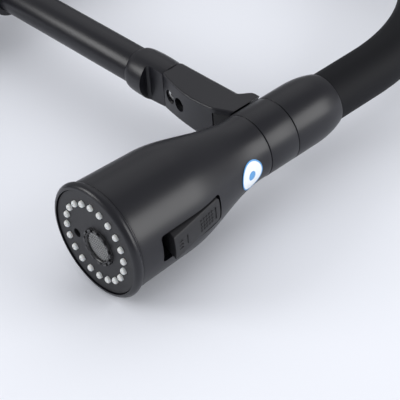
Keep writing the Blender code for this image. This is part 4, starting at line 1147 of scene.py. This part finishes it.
# direction runs from the spray head to the lamp; reflected says that the object mirrors it
lamps = {
    "keyLamp": {"direction": (0.79, -0.35, 0.5), "distance": 1.6, "width": 1.1, "height": 1.2,
                "power": 17, "reflected": True},
    "topLamp": {"direction": (-0.34, -1, 0.36), "distance": 1.25, "width": 2.6, "height": 2.6,
                "power": 13.2, "reflected": False},
    "softLamp": {"direction": (-0.5, -0.75, 0.42), "distance": 1.6, "width": 1.2, "height": 1.2,
                 "power": 1.6, "reflected": True},
    "lowLamp": {"direction": (0.3, -0.5, -0.8), "distance": 1.6, "width": 1, "height": 0.8,
                "power": 2.5, "reflected": False},
    "armLamp": {"direction": (-0.6, -0.415, -0.68), "distance": 1.6, "width": 0.7,
                "height": 0.7, "power": 9, "reflected": True},
}
lampAim = 0.08  # up the spray head from its face, in metres
camera = {"place": (0.68631, -0.47084, -0.13985), "lens": 153.2, "sensor": 36, "farEnd": 20,
    "right": (0.6784, 0.07, 0.7314), "up": (-0.4216, -0.7781, 0.4655),
    "back": (0.6017, -0.6242, -0.4984)}


def makeTable():
    # the faucet lies against this sheet, which is clear when seen from behind
    bm = bmesh.new()
    bmesh.ops.create_grid(bm, x_segments=1, y_segments=1, size=table["halfSize"] * mm)
    piece = makePiece("table", bm, shift(*table["centre"]) @ quarterTurn("X"))
    look, start, shader = startLook("table_top")
    spot = start.node("TexCoord", output="Object")
    cloud = noise(start, spot, table["blotches"], 2)
    colour = blendColours(start, cloud, table["dark"], table["light"])
    finishLook(start, shader, {"Base Color": colour, "Roughness": table["roughness"],
                               "Specular IOR Level": 0})
    behind = start.node("NewGeometry", output="Backfacing")
    clear = start.node("BsdfTransparent")
    mixed = start.node("MixShader", None, {0: behind, 2: clear,
                                           1: Signal(look.node_tree, shader.outputs[0])})
    start.feed(look.node_tree.nodes["Material Output"].inputs["Surface"], mixed)
    piece.data.materials.append(look)
    piece.visible_shadow = False


def makeWorld():
    sky = bpy.data.worlds.new("studio")
    sky.use_nodes = True
    shade = sky.node_tree.nodes["Background"]
    shade.inputs["Color"].default_value = (*world["colour"], 1)
    shade.inputs["Strength"].default_value = world["strength"]
    bpy.context.scene.world = sky


def makeLamp(name, values):
    lamp = bpy.data.lights.new(name, "AREA")
    lamp.shape = "RECTANGLE"
    lamp.size = values["width"]
    lamp.size_y = values["height"]
    lamp.energy = values["power"]
    holder = bpy.data.objects.new(name, lamp)
    holder.visible_glossy = values["reflected"]
    aim = Vector(values["direction"]).normalized()
    holder.location = headAxis.translation + Vector((0, 0, lampAim)) + aim * values["distance"]
    holder.rotation_euler = aim.to_track_quat("Z", "Y").to_euler()
    bpy.context.scene.collection.objects.link(holder)


def makeCamera():
    view = bpy.data.cameras.new("camera")
    view.lens = camera["lens"]
    view.sensor_width = camera["sensor"]
    view.clip_end = camera["farEnd"]
    holder = bpy.data.objects.new("camera", view)
    turn = Matrix((camera["right"], camera["up"], camera["back"])).transposed().to_4x4()
    holder.matrix_world = Matrix.Translation(camera["place"]) @ turn
    bpy.context.scene.collection.objects.link(holder)
    bpy.context.scene.camera = holder


makeTable()
makeWorld()
for lampName, lampValues in lamps.items():
    makeLamp(lampName, lampValues)
makeCamera()
bpy.context.scene.view_settings.view_transform = "Standard"
print("studio made")
